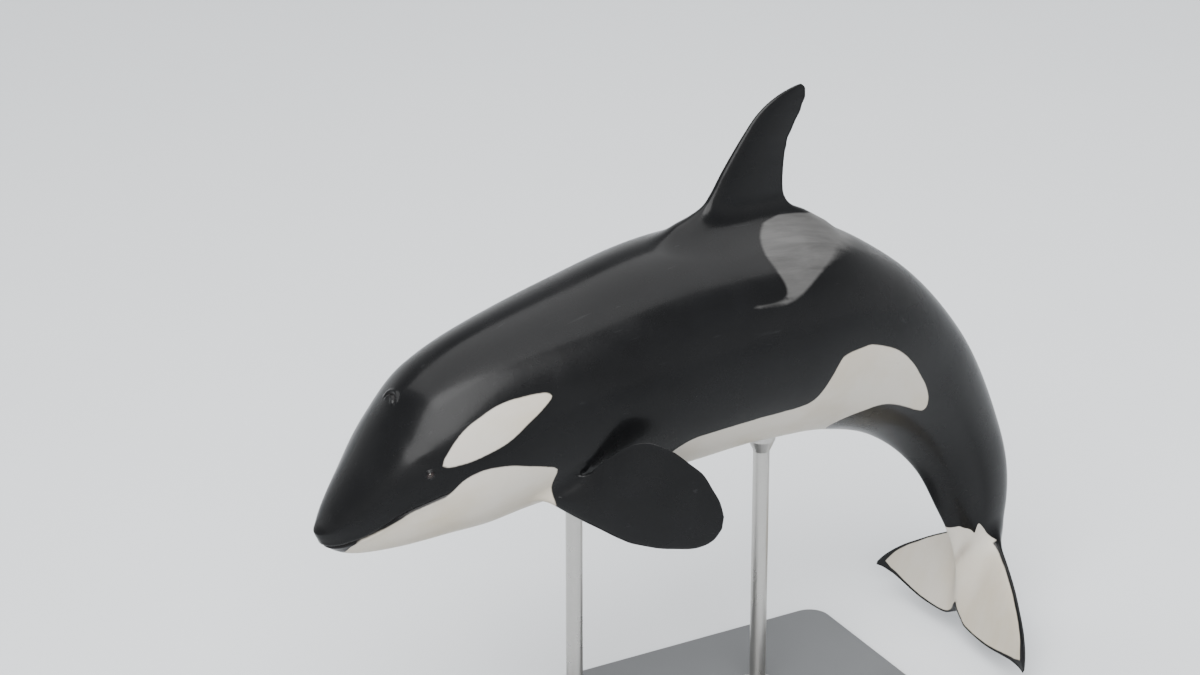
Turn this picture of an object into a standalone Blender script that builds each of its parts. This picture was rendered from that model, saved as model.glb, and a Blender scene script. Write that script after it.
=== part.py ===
"""A life-size orca in mid leap, nose down and tail curled under, held over a flat base by two rods.

The animal faces -X, its left side is -Y and +Z is up. The origin is the middle of the underside of
the base. A place on the body is given by its share of the body's length, from the snout to the notch
of the flukes, and by its angle round the body, from the middle of the back down the left side.
"""

import math

import bmesh
import bpy
import numpy as np
from mathutils import Matrix, Vector

# Driving dimensions, in metres unless a name says otherwise
BODY_LENGTH = 5.5
SNOUT_TIP = (-2.15, 0.0, 1.67)
JOINT_GAP = 0.0003

# Slope of the midline towards the tail, in degrees, at even shares of the length
MIDLINE_SLOPES = (20.5, 22.0, 15.0, 11.0, 3.5, -10.0, -27.5, -45.0, -64.5, -86.5, -113.0)

# Share of the length, height of the back, depth of the belly and half width, off the midline
STATIONS = (
    (0.000, 0.000, 0.000, 0.000),
    (0.006, 0.020, 0.115, 0.065),
    (0.020, 0.085, 0.195, 0.135),
    (0.050, 0.200, 0.270, 0.235),
    (0.100, 0.385, 0.355, 0.350),
    (0.150, 0.515, 0.430, 0.425),
    (0.200, 0.555, 0.465, 0.450),
    (0.300, 0.575, 0.570, 0.505),
    (0.400, 0.610, 0.620, 0.530),
    (0.500, 0.610, 0.600, 0.495),
    (0.600, 0.495, 0.525, 0.390),
    (0.700, 0.355, 0.410, 0.255),
    (0.800, 0.245, 0.320, 0.150),
    (0.860, 0.220, 0.275, 0.110),
    (0.920, 0.165, 0.180, 0.070),
    (0.970, 0.085, 0.085, 0.035),
    (1.000, 0.010, 0.010, 0.005),
)

# Share of the length, and how full the section is above and below: 2 is round, less is keeled
FULLNESS = (
    (0.00, 2.0, 2.10),
    (0.30, 2.0, 2.15),
    (0.55, 2.0, 2.05),
    (0.80, 1.7, 1.70),
    (1.00, 1.6, 1.60),
)

# Where the body is parted into head, torso and tail stock, as shares of the length
HEAD_END = 0.175
TORSO_END = 0.58
STOCK_END = 0.985
HEAD_RINGS = 20
TORSO_RINGS = 22
STOCK_RINGS = 24
RING_POINTS = 40

# Mouth line: share of the length and angle, from the left corner to the middle of the chin
MOUTH_LINE = (
    (0.1150, 87.5),
    (0.0850, 87.5),
    (0.0660, 90.0),
    (0.0470, 97.5),
    (0.0340, 104.0),
    (0.0210, 111.0),
    (0.0090, 127.0),
    (0.0035, 152.0),
    (0.0030, 180.0),
)
MOUTH_STEPS = 20
MOUTH_WIDTH = 0.007
MOUTH_DEPTH = 0.022
LIP_RADIUS = 0.015
LIP_PROUD = 0.004

EYE_PLACE = (0.107, 68.0)
EYE_RADIUS = 0.024
EYE_SUNK = 0.013
LID_RADIUS = 0.007
LID_RING_RADIUS = 0.021
LID_SUNK = 0.002
LID_LENGTHEN = 1.25
LID_FLATTEN = 0.85

BLOWHOLE_SHARE = 0.118
BLOWHOLE_RADIUS = 0.050
BLOWHOLE_HALF_ARC = math.radians(78)
BLOWHOLE_WIDTH = 0.012
BLOWHOLE_DEPTH = 0.030
BLOWHOLE_RIM = 0.012

# Dorsal fin: height above its seat, leading edge and trailing edge along the back, and thickness
FIN_SEAT = (0.35, 1.16)
FIN_PLAN = (
    (-0.100, -0.400, 0.460, 0.130),
    (0.000, -0.400, 0.370, 0.120),
    (0.050, -0.385, 0.300, 0.108),
    (0.100, -0.310, 0.268, 0.095),
    (0.150, -0.240, 0.254, 0.086),
    (0.220, -0.187, 0.249, 0.078),
    (0.320, -0.127, 0.254, 0.068),
    (0.420, -0.060, 0.272, 0.058),
    (0.520, 0.012, 0.314, 0.048),
    (0.600, 0.077, 0.358, 0.040),
    (0.660, 0.152, 0.377, 0.032),
    (0.700, 0.232, 0.376, 0.024),
    (0.722, 0.300, 0.362, 0.015),
    (0.730, 0.335, 0.352, 0.006),
)

# Flipper: distance out from its seat, lower edge, upper edge and thickness
FLIPPER_SEAT = (-0.95, 0.38, 1.76)
FLIPPER_SPREAD = math.radians(35.6)
FLIPPER_DROOP = math.radians(7.6)
FLIPPER_PLAN = (
    (-0.140, -0.020, 0.050, 0.090),
    (-0.050, -0.045, 0.070, 0.094),
    (0.050, -0.088, 0.110, 0.094),
    (0.150, -0.127, 0.165, 0.088),
    (0.230, -0.155, 0.260, 0.080),
    (0.330, -0.190, 0.347, 0.070),
    (0.420, -0.210, 0.375, 0.062),
    (0.530, -0.212, 0.352, 0.054),
    (0.640, -0.197, 0.293, 0.046),
    (0.710, -0.183, 0.250, 0.040),
    (0.770, -0.155, 0.175, 0.032),
    (0.820, -0.107, 0.105, 0.022),
    (0.850, -0.040, 0.030, 0.012),
)

# Fluke: distance out from the middle, leading edge and trailing edge behind the notch, and thickness
FLUKE_PLAN = (
    (0.000, -0.470, 0.000, 0.100),
    (0.040, -0.455, 0.060, 0.096),
    (0.100, -0.435, 0.095, 0.088),
    (0.200, -0.380, 0.105, 0.074),
    (0.300, -0.320, 0.108, 0.060),
    (0.400, -0.255, 0.102, 0.048),
    (0.500, -0.180, 0.090, 0.037),
    (0.600, -0.100, 0.080, 0.027),
    (0.660, -0.040, 0.080, 0.021),
    (0.705, 0.015, 0.084, 0.015),
    (0.735, 0.065, 0.090, 0.008),
)
FLUKE_SLOPE = math.radians(-113)
FLUKE_DROOP = 0.05

BLADE_POINTS = 10
BLADE_EDGE = 0.004

BASE_SIZE = (2.60, 1.30, 0.04)
BASE_CORNER = 0.12
BASE_EDGE = 0.008
ROD_PLACES = {"stand_rod_front": -0.65, "stand_rod_rear": 0.50}
ROD_RADIUS = 0.045
ROD_FOOT_RADIUS = 0.13
ROD_FOOT_HEIGHT = 0.025
ROD_COLLAR_RADIUS = 0.075
ROD_COLLAR_HEIGHT = 0.05
ROD_CONE_HEIGHT = 0.07
ROD_SIDES = 32

SIDES = {"left": 1, "right": -1}


def smooth_curve(knots, values, places):
    """Reads a curve through the knots that doesn't overshoot them."""
    knots = np.asarray(knots, float)
    values = np.asarray(values, float)
    places = np.asarray(places, float)
    step = np.diff(knots)
    rise = np.diff(values) / step
    slope = np.zeros_like(values)
    slope[0] = rise[0]
    slope[-1] = rise[-1]
    for i in range(1, len(knots) - 1):
        if rise[i - 1] * rise[i] > 0:
            before = 2 * step[i] + step[i - 1]
            after = step[i] + 2 * step[i - 1]
            slope[i] = (before + after) / (before / rise[i - 1] + after / rise[i])
    i = np.clip(np.searchsorted(knots, places, side="right") - 1, 0, len(step) - 1)
    t = (places - knots[i]) / step[i]
    start = values[i] * (1 + 2 * t) + slope[i] * step[i] * t
    end = values[i + 1] * (3 - 2 * t) + slope[i + 1] * step[i] * (t - 1)
    return start * (1 - t) ** 2 + end * t**2


def midline(shares):
    """The body's midline in the plane of symmetry: x, z and slope at these shares of its length."""
    steps = 400
    even = np.linspace(0, 1, steps + 1)
    slopes = smooth_curve(np.linspace(0, 1, len(MIDLINE_SLOPES)), np.radians(MIDLINE_SLOPES), even)
    middle = (slopes[1:] + slopes[:-1]) / 2
    run = BODY_LENGTH / steps
    x = SNOUT_TIP[0] + np.concatenate([[0], np.cumsum(np.cos(middle) * run)])
    z = SNOUT_TIP[2] + np.concatenate([[0], np.cumsum(np.sin(middle) * run)])
    return np.interp(shares, even, x), np.interp(shares, even, z), np.interp(shares, even, slopes)


def rounded(value, fullness):
    """A cosine or sine, pressed towards the shape of a fuller or a keeled section."""
    return np.sign(value) * np.abs(value) ** (2 / fullness)


def body_points(shares, degrees, grown=0.0):
    """Points of the skin at these shares and angles, or of a body that is larger all round."""
    shares = np.asarray(shares, float)
    angle = np.radians(np.asarray(degrees, float))
    knots = np.sqrt([row[0] for row in STATIONS])
    along = np.sqrt(np.clip(shares, 0, 1))
    back, belly, half = (
        smooth_curve(knots, [row[i] for row in STATIONS], along) + grown for i in (1, 2, 3)
    )
    places = [row[0] for row in FULLNESS]
    above, below = (smooth_curve(places, [row[i] for row in FULLNESS], shares) for i in (1, 2))
    x, z, slope = midline(shares)
    upper = np.cos(angle) > 0
    fullness = np.where(upper, above, below)
    up = np.where(upper, back, belly) * rounded(np.cos(angle), fullness)
    out = half * rounded(np.sin(angle), fullness)
    return np.stack([x - np.sin(slope) * up, -out, z + np.cos(slope) * up], -1)


def skin_frame(share, degrees):
    """A place on the skin, and the directions out of the body and towards the tail there."""
    nudge = 0.0005
    turn = 0.5
    place, behind, beside = (
        Vector(body_points(share + a, degrees + b)) for a, b in ((0, 0), (nudge, 0), (0, turn))
    )
    tailward = (behind - place).normalized()
    out = (beside - place).cross(tailward).normalized()
    return place, out, tailward


def new_collection(name):
    collection = bpy.data.collections.new(name)
    bpy.context.scene.collection.children.link(collection)
    return collection


def new_material(name, colour, roughness, metallic=0.0):
    material = bpy.data.materials.new(name)
    material.use_nodes = True
    shader = material.node_tree.nodes["Principled BSDF"]
    shader.inputs["Base Color"].default_value = (*colour, 1.0)
    shader.inputs["Roughness"].default_value = roughness
    shader.inputs["Metallic"].default_value = metallic
    material.diffuse_color = (*colour, 1.0)
    return material


def new_object(name, points, faces, collection, material=None):
    mesh = bpy.data.meshes.new(name)
    mesh.from_pydata([tuple(point) for point in points], [], faces)
    work = bmesh.new()
    work.from_mesh(mesh)
    bmesh.ops.recalc_face_normals(work, faces=work.faces)
    work.to_mesh(mesh)
    work.free()
    mesh.shade_smooth()
    mesh.set_sharp_from_angle(angle=math.radians(40))
    obj = bpy.data.objects.new(name, mesh)
    collection.objects.link(obj)
    if material:
        mesh.materials.append(material)
    return obj


def cutter(obj):
    obj.hide_render = True
    obj.display_type = "WIRE"
    return obj


def place_primitive(name, collection, material=None):
    """Names the primitive just added, moves it to its collection and writes its place into its mesh."""
    obj = bpy.context.object
    obj.name = name
    obj.data.name = name
    obj.data.transform(obj.matrix_basis)
    obj.matrix_basis = Matrix()
    for other in obj.users_collection:
        other.objects.unlink(obj)
    collection.objects.link(obj)
    obj.data.shade_smooth()
    if material:
        obj.data.materials.append(material)
    return obj


def boolean(obj, other, operation, solver="EXACT"):
    """Joins or cuts a node with a mesh or a collection, applies it and keeps its largest surface."""
    modifier = obj.modifiers.new(other.name, "BOOLEAN")
    modifier.operation = operation
    modifier.solver = solver
    if isinstance(other, bpy.types.Collection):
        modifier.operand_type = "COLLECTION"
        modifier.collection = other
    else:
        modifier.object = other
    bpy.context.view_layer.update()
    graph = bpy.context.evaluated_depsgraph_get()
    result = bpy.data.meshes.new_from_object(obj.evaluated_get(graph))
    obj.modifiers.remove(modifier)
    obj.data = result
    keep_largest(obj)
    result.shade_smooth()
    result.set_sharp_from_angle(angle=math.radians(40))


def keep_largest(obj):
    """Keeps the connected surface with the most faces."""
    work = bmesh.new()
    work.from_mesh(obj.data)
    bmesh.ops.remove_doubles(work, verts=work.verts, dist=1e-5)
    bmesh.ops.dissolve_degenerate(work, edges=work.edges, dist=1e-5)
    left = set(work.faces)
    parts = []
    while left:
        part = set()
        front = [left.pop()]
        while front:
            face = front.pop()
            part.add(face)
            near = {other for edge in face.edges for other in edge.link_faces} & left
            left -= near
            front.extend(near)
        parts.append(part)
    parts.sort(key=len)
    loose = [face for part in parts[:-1] for face in part]
    bmesh.ops.delete(work, geom=loose, context="FACES")
    work.to_mesh(obj.data)
    work.free()


def remove_collection(collection):
    for obj in list(collection.objects):
        bpy.data.objects.remove(obj)
    bpy.data.collections.remove(collection)


def body_length(name, shares, collection, grown=0.0, material=None):
    """One closed length of the body between two stations, split into triangles alike on both sides."""
    degrees = np.arange(RING_POINTS) * 360 / RING_POINTS
    rings = [body_points(np.full(RING_POINTS, share), degrees, grown) for share in shares]
    points = [point for ring in rings for point in ring]
    faces = []
    for i in range(len(rings) - 1):
        for j in range(RING_POINTS):
            k = (j + 1) % RING_POINTS
            a, b = i * RING_POINTS + j, i * RING_POINTS + k
            c, d = a + RING_POINTS, b + RING_POINTS
            if j < RING_POINTS // 2:
                faces += [(a, b, d), (a, d, c)]
            else:
                faces += [(a, b, c), (b, d, c)]
    for ring, share in ((0, shares[0]), (len(rings) - 1, shares[-1])):
        x, z, _ = midline(share)
        middle = len(points)
        points.append((float(x), 0.0, float(z)))
        for j in range(RING_POINTS):
            k = (j + 1) % RING_POINTS
            faces.append((middle, ring * RING_POINTS + j, ring * RING_POINTS + k))
    return new_object(name, points, faces, collection, material)


def blade_profile():
    """Share of the chord and of the thickness, from the leading to the trailing edge of a fin."""
    x = (1 - np.cos(np.linspace(0, np.pi, BLADE_POINTS))) / 2
    y = 0.2969 * np.sqrt(x) - 0.1260 * x - 0.3516 * x**2 + 0.2843 * x**3 - 0.1036 * x**4
    return x, y / y.max()


def blade(name, sections, collection, material=None):
    """A fin lofted through sections, each a leading point, a trailing point, a face normal and a thickness."""
    x, y = blade_profile()
    points = []
    for lead, trail, normal, thick in sections:
        half = np.maximum(y * thick / 2, BLADE_EDGE / 2 * np.minimum(1, x * 20))
        for side in (1, -1):
            for i in range(BLADE_POINTS):
                points.append(lead.lerp(trail, float(x[i])) + normal * float(side * half[i]))
    ring = 2 * BLADE_POINTS
    faces = []
    for i in range(len(sections) - 1):
        for side in (0, BLADE_POINTS):
            for j in range(BLADE_POINTS - 1):
                a = i * ring + side + j
                faces += [(a, a + 1, a + ring + 1), (a, a + ring + 1, a + ring)]
        top = i * ring + BLADE_POINTS - 1
        low = top + BLADE_POINTS
        faces += [(top, low, low + ring), (top, low + ring, top + ring)]
    for i in (0, len(sections) - 1):
        for j in range(BLADE_POINTS - 1):
            a = i * ring + j
            b = a + BLADE_POINTS
            faces += [(a, a + 1, b + 1), (a, b + 1, b)]
    obj = new_object(name, points, faces, collection, material)
    work = bmesh.new()
    work.from_mesh(obj.data)
    bmesh.ops.remove_doubles(work, verts=work.verts, dist=1e-5)
    bmesh.ops.recalc_face_normals(work, faces=work.faces)
    work.to_mesh(obj.data)
    work.free()
    return obj


def sweep(name, places, section, collection):
    """A closed strip along places on the skin. The section's points are across the path and out of the skin."""
    frames = [skin_frame(share, degrees) for share, degrees in places]
    spots = [frame[0] for frame in frames]
    points = []
    for i, (spot, out, _) in enumerate(frames):
        ahead = spots[min(i + 1, len(spots) - 1)] - spots[max(i - 1, 0)]
        across = out.cross(ahead).normalized()
        points += [spot + across * a + out * b for a, b in section]
    count = len(section)
    faces = []
    for i in range(len(spots) - 1):
        for j in range(count):
            k = (j + 1) % count
            a, b = i * count + j, i * count + k
            faces += [(a, b, b + count), (a, b + count, a + count)]
    last = (len(spots) - 1) * count
    faces += [tuple(range(count)), tuple(range(last, last + count))]
    return new_object(name, points, faces, collection)


def round_section(radius, across=0.0, out=0.0, sides=6):
    turns = [2 * math.pi * i / sides for i in range(sides)]
    return [(across + radius * math.cos(t), out + radius * math.sin(t)) for t in turns]


def slot_section(width, depth, proud=0.02):
    half = width / 2
    return [(-half, -depth), (half, -depth), (half, proud), (-half, proud)]


def mouth_places():
    """The mouth line from its left corner round the front of the snout to its right corner."""
    rows = np.array(MOUTH_LINE)
    t = np.linspace(0, 1, MOUTH_STEPS)
    knots = np.linspace(0, 1, len(rows))
    shares = smooth_curve(knots, rows[:, 0], t)
    degrees = smooth_curve(knots, rows[:, 1], t)
    left = list(zip(shares, degrees))
    right = [(share, 360 - angle) for share, angle in reversed(left[:-1])]
    return [(float(share), float(angle)) for share, angle in left + right]


def blowhole_places(radius, half_arc, steps=12):
    """A crescent on the top of the head, its horns towards the snout."""
    middle, beside = body_points((BLOWHOLE_SHARE, BLOWHOLE_SHARE), (0, 1))
    one_degree = np.linalg.norm(beside - middle)
    places = []
    for t in np.linspace(-half_arc, half_arc, steps):
        share = BLOWHOLE_SHARE + radius * (math.cos(t) - 0.5) / BODY_LENGTH
        places.append((share, radius * math.sin(t) / one_degree))
    return places


def eye_frame(side):
    """The eye's centre with its axes (fore and aft, across and out of the head), and its place on the skin."""
    place, out, tailward = skin_frame(EYE_PLACE[0], EYE_PLACE[1] * side)
    frame = Matrix((tailward, out.cross(tailward), out)).transposed().to_4x4()
    frame.translation = place - out * EYE_SUNK
    return frame, place


def eye_ball(name, side, radius, collection, material=None):
    frame, _ = eye_frame(side)
    bpy.ops.mesh.primitive_uv_sphere_add(segments=16, ring_count=10, radius=radius)
    bpy.context.object.matrix_basis = frame
    return place_primitive(name, collection, material)


def eye_lids(name, side, collection):
    """The ring of the two lids, longer than it is high, set half into the head."""
    frame, place = eye_frame(side)
    frame.translation = place - frame.to_3x3() @ Vector((0, 0, LID_SUNK))
    bpy.ops.mesh.primitive_torus_add(
        major_segments=16, minor_segments=6, major_radius=LID_RING_RADIUS, minor_radius=LID_RADIUS
    )
    bpy.context.object.matrix_basis = frame @ Matrix.Diagonal((LID_LENGTHEN, LID_FLATTEN, 1.0, 1.0))
    return place_primitive(name, collection)


def head_shares():
    """Stations that crowd towards the snout."""
    t = np.linspace(0.02, 1, HEAD_RINGS)
    return HEAD_END * t**1.7


def build_head(parts, cutters, material):
    head = body_length("head", head_shares(), parts, material=material)
    forms = new_collection("head_forms")
    path = mouth_places()
    offset = MOUTH_WIDTH / 2 + LIP_RADIUS * 0.9
    for name, across in (("upper_lip", -offset), ("lower_lip", offset)):
        lip = round_section(LIP_RADIUS, across, LIP_PROUD - LIP_RADIUS)
        sweep(name, path, lip, forms)
    rim = round_section(BLOWHOLE_RIM, 0, -BLOWHOLE_RIM * 0.55)
    reach = BLOWHOLE_RADIUS + BLOWHOLE_WIDTH / 2 + BLOWHOLE_RIM
    sweep("blowhole_rim", blowhole_places(reach, BLOWHOLE_HALF_ARC), rim, forms)
    for side_name, side in SIDES.items():
        eye_lids("lids_" + side_name, side, forms)
    boolean(head, forms, "UNION", "MANIFOLD")
    remove_collection(forms)
    slot = slot_section(MOUTH_WIDTH, MOUTH_DEPTH)
    cuts = [sweep("mouth_slot", path, slot, cutters)]
    slot = slot_section(BLOWHOLE_WIDTH, BLOWHOLE_DEPTH)
    places = blowhole_places(BLOWHOLE_RADIUS, BLOWHOLE_HALF_ARC)
    cuts.append(sweep("blowhole_slot", places, slot, cutters))
    for side_name, side in SIDES.items():
        name = "eye_socket_" + side_name
        cuts.append(eye_ball(name, side, EYE_RADIUS + JOINT_GAP, cutters))
    for cut in cuts:
        boolean(head, cutter(cut), "DIFFERENCE", "MANIFOLD")
    return head


def torso_shares():
    start = HEAD_END + JOINT_GAP / BODY_LENGTH
    return np.linspace(start, TORSO_END, TORSO_RINGS)


def stock_shares():
    start = TORSO_END + JOINT_GAP / BODY_LENGTH
    return np.linspace(start, STOCK_END, STOCK_RINGS)


def dorsal_fin(parts, torso_cut, material):
    seat = Vector((FIN_SEAT[0], 0, SNOUT_TIP[2] + FIN_SEAT[1]))
    sections = []
    for height, lead, trail, thick in FIN_PLAN:
        low = seat + Vector((lead, 0, height))
        sections.append((low, seat + Vector((trail, 0, height)), Vector((0, 1, 0)), thick))
    fin = blade("dorsal_fin", sections, parts, material)
    boolean(fin, torso_cut, "DIFFERENCE")
    return fin


def flipper(side_name, side, parts, torso_cut, material):
    seat = Vector((FLIPPER_SEAT[0], -side * FLIPPER_SEAT[1], FLIPPER_SEAT[2]))
    flat = math.cos(FLIPPER_DROOP)
    span = Vector(
        (
            flat * math.cos(FLIPPER_SPREAD),
            -side * flat * math.sin(FLIPPER_SPREAD),
            -math.sin(FLIPPER_DROOP),
        )
    )
    up = (Vector((0, 0, 1)) - span * span.z).normalized()
    normal = span.cross(up)
    sections = []
    for out, low, high, thick in FLIPPER_PLAN:
        root = seat + span * out
        sections.append((root + up * low, root + up * high, normal, thick))
    paddle = blade("flipper_" + side_name, sections, parts, material)
    boolean(paddle, torso_cut, "DIFFERENCE")
    return paddle


def fluke(side_name, side, parts, stock_cut, material):
    x, z, _ = midline(1.0)
    notch = Vector((float(x), 0, float(z)))
    along = Vector((math.cos(FLUKE_SLOPE), 0, math.sin(FLUKE_SLOPE)))
    belly = Vector((math.sin(FLUKE_SLOPE), 0, -math.cos(FLUKE_SLOPE)))
    reach = FLUKE_PLAN[-1][0]
    sections = []
    for out, lead, trail, thick in FLUKE_PLAN:
        shift = Vector((0, -side * max(out, JOINT_GAP / 2), 0)) + belly * FLUKE_DROOP * (out / reach) ** 2
        sections.append((notch + shift + along * lead, notch + shift + along * trail, belly, thick))
    half = blade("fluke_" + side_name, sections, parts, material)
    boolean(half, stock_cut, "DIFFERENCE")
    return half


def stand_base(parts, material):
    bpy.ops.mesh.primitive_cube_add(size=1)
    plate = bpy.context.object
    plate.matrix_basis = Matrix.Translation((0, 0, BASE_SIZE[2] / 2)) @ Matrix.Diagonal((*BASE_SIZE, 1))
    plate = place_primitive("stand_base", parts, material)
    work = bmesh.new()
    work.from_mesh(plate.data)
    upright = [edge for edge in work.edges if abs(edge.verts[0].co.z - edge.verts[1].co.z) > 0.01]
    bmesh.ops.bevel(work, geom=upright, offset=BASE_CORNER, segments=8, profile=0.5, affect="EDGES")
    top = [edge for edge in work.edges if min(v.co.z for v in edge.verts) > BASE_SIZE[2] - 0.001]
    bmesh.ops.bevel(work, geom=top, offset=BASE_EDGE, segments=2, profile=0.5, affect="EDGES")
    work.to_mesh(plate.data)
    work.free()
    plate.data.shade_smooth()
    plate.data.set_sharp_from_angle(angle=math.radians(30))
    return plate


def stand_rod(name, x, parts, torso_cut, material):
    """A turned rod with a foot and a collar, trimmed to the belly that it carries."""
    foot = BASE_SIZE[2] + JOINT_GAP
    belly = belly_height(x)
    top = belly + ROD_COLLAR_RADIUS * 2
    profile = (
        (0, top),
        (ROD_COLLAR_RADIUS, top),
        (ROD_COLLAR_RADIUS, belly - ROD_COLLAR_HEIGHT),
        (ROD_RADIUS, belly - ROD_COLLAR_HEIGHT - ROD_CONE_HEIGHT),
        (ROD_RADIUS, foot + ROD_FOOT_HEIGHT * 2),
        (ROD_RADIUS * 1.3, foot + ROD_FOOT_HEIGHT),
        (ROD_FOOT_RADIUS, foot + ROD_FOOT_HEIGHT * 0.8),
        (ROD_FOOT_RADIUS, foot),
        (0, foot),
    )
    mesh = bpy.data.meshes.new(name)
    points = [(radius, 0, height) for radius, height in profile]
    mesh.from_pydata(points, [(i, i + 1) for i in range(len(points) - 1)], [])
    rod = bpy.data.objects.new(name, mesh)
    parts.objects.link(rod)
    turn = rod.modifiers.new("turned", "SCREW")
    turn.steps = ROD_SIDES
    turn.render_steps = ROD_SIDES
    turn.use_merge_vertices = True
    turn.merge_threshold = 0.0001
    bpy.context.view_layer.update()
    graph = bpy.context.evaluated_depsgraph_get()
    rod.data = bpy.data.meshes.new_from_object(rod.evaluated_get(graph))
    rod.modifiers.clear()
    rod.data.transform(Matrix.Translation((x, 0, 0)))
    rod.data.materials.append(material)
    boolean(rod, torso_cut, "DIFFERENCE")
    return rod


def belly_height(x):
    """Height of the belly's middle over the base at this place along it."""
    shares = np.linspace(HEAD_END, TORSO_END, 60)
    belly = body_points(shares, np.full(60, 180.0))
    return float(np.interp(x, belly[:, 0], belly[:, 2]))


def main():
    for obj in list(bpy.data.objects):
        bpy.data.objects.remove(obj)
    parts = new_collection("orca")
    cutters = new_collection("cutters")
    hide = new_material("black_hide", (0.012, 0.013, 0.016), 0.22)
    under = new_material("white_hide", (0.62, 0.60, 0.56), 0.35)
    eye = new_material("eye", (0.020, 0.012, 0.008), 0.05)
    steel = new_material("painted_steel", (0.35, 0.36, 0.37), 0.45, 0.2)

    build_head(parts, cutters, hide)
    body_length("torso", torso_shares(), parts, material=hide)
    body_length("tail_stock", stock_shares(), parts, material=hide)
    torso_cut = cutter(body_length("torso_grown", torso_shares(), cutters, JOINT_GAP))
    stock_cut = cutter(body_length("stock_grown", stock_shares(), cutters, JOINT_GAP))
    dorsal_fin(parts, torso_cut, hide)
    for side_name, side in SIDES.items():
        flipper(side_name, side, parts, torso_cut, hide)
        fluke(side_name, side, parts, stock_cut, under)
        eye_ball("eye_" + side_name, side, EYE_RADIUS, parts, eye)
    stand_base(parts, steel)
    for name, x in ROD_PLACES.items():
        stand_rod(name, x, parts, torso_cut, steel)


main()
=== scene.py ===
"""Dresses a life-size leaping orca: a seamless skin with its markings, wet eyes and a stand.

Lengths are in metres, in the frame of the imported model. The animal faces -X, its left side is -Y
and +Z is up. A place on the body is its share of the body's length, from the snout to the notch of
the flukes, and its angle in degrees from the middle of the back down the left side. Markings are
drawn on one side and mirrored.
"""

import math

import bmesh
import bpy
import numpy as np
from bpy.props import FloatProperty, FloatVectorProperty, IntProperty, PointerProperty
from mathutils import Matrix, Vector
from mathutils.bvhtree import BVHTree
from mathutils.interpolate import poly_3d_calc


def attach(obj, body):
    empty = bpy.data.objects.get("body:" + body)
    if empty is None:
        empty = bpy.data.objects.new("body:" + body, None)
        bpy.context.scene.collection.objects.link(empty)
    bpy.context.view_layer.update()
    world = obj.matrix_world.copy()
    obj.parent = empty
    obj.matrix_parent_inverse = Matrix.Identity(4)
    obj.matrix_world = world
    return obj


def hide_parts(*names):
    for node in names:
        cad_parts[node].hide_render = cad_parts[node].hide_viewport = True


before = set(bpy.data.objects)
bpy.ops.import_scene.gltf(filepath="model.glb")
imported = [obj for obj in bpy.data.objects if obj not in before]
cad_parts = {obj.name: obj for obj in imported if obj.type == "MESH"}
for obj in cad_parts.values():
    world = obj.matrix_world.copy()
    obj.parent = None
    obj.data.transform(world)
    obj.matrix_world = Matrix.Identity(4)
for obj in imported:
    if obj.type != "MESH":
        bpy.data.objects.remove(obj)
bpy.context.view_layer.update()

bl_info = {
    "name": "Leaping Orca",
    "version": (1, 0, 0),
    "blender": (4, 5, 0),
    "location": "3D View > Sidebar > Orca",
    "description": "Skin, eyes, stand finish and studio for a life-size orca in mid leap",
    "category": "Object",
}

SIDES = {"left": 1, "right": -1}
# Points that are compared with a whole path or outline at a time, to save memory
BATCH = 4096

# Body: the same curve and stations as the solids
BODY_LENGTH = 5.5
SNOUT_TIP = (-2.15, 0.0, 1.67)
MIDLINE_SLOPES = (20.5, 22.0, 15.0, 11.0, 3.5, -10.0, -27.5, -45.0, -64.5, -86.5, -113.0)
# Share of the length, height of the back, depth of the belly and half width
STATIONS = (
    (0.000, 0.000, 0.000, 0.000),
    (0.006, 0.020, 0.115, 0.065),
    (0.020, 0.085, 0.195, 0.135),
    (0.050, 0.200, 0.270, 0.235),
    (0.100, 0.385, 0.355, 0.350),
    (0.150, 0.515, 0.430, 0.425),
    (0.200, 0.555, 0.465, 0.450),
    (0.300, 0.575, 0.570, 0.505),
    (0.400, 0.610, 0.620, 0.530),
    (0.500, 0.610, 0.600, 0.495),
    (0.600, 0.495, 0.525, 0.390),
    (0.700, 0.355, 0.410, 0.255),
    (0.800, 0.245, 0.320, 0.150),
    (0.860, 0.220, 0.275, 0.110),
    (0.920, 0.165, 0.180, 0.070),
    (0.970, 0.085, 0.085, 0.035),
    (1.000, 0.010, 0.010, 0.005),
)
# Share of the length, and how full the section is above and below
FULLNESS = (
    (0.00, 2.0, 2.10),
    (0.30, 2.0, 2.15),
    (0.55, 2.0, 2.05),
    (0.80, 1.7, 1.70),
    (1.00, 1.6, 1.60),
)
HEAD_SHARE = 0.175
HEAD_RINGS = 56
HEAD_CROWDING = 1.7
MIDLINE_STEPS = 400
STATION_COUNT = 801
# Steps along the body, as a share, and round it, in degrees, that give the directions on its skin
ALONG_STEP = 0.0005
ROUND_STEP = 0.5
REFINE_ROUNDS = 5
# The head's fine detail ends a little behind its last ring
DETAIL_SHARE = HEAD_SHARE * 1.1
# Head mesh by the mouth line, the blowhole and the eyes: shortest edge, how far it reaches, growth
FINE_EDGES = ((0.0024, 0.013, 0.35), (0.0032, 0.035, 0.35), (0.0017, 0.034, 0.30))
# Edges longer or shorter than these shares of the wanted length are split or merged
SPLIT_ABOVE = 1.4
MERGE_BELOW = 0.45

# Head: mouth line from behind the left corner to the middle of the chin, eye and blowhole
MOUTH_LINE = (
    (0.1190, 88.2),
    (0.1150, 87.5),
    (0.0850, 87.5),
    (0.0660, 90.0),
    (0.0470, 97.5),
    (0.0340, 104.0),
    (0.0210, 111.0),
    (0.0090, 127.0),
    (0.0035, 152.0),
    (0.0030, 180.0),
)
# Mouth: how far its shape reaches, fade at the corners, and half width of the groove
MOUTH_REACH = 0.09
MOUTH_FADE = 0.06
MOUTH_GROOVE = 0.0058
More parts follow.
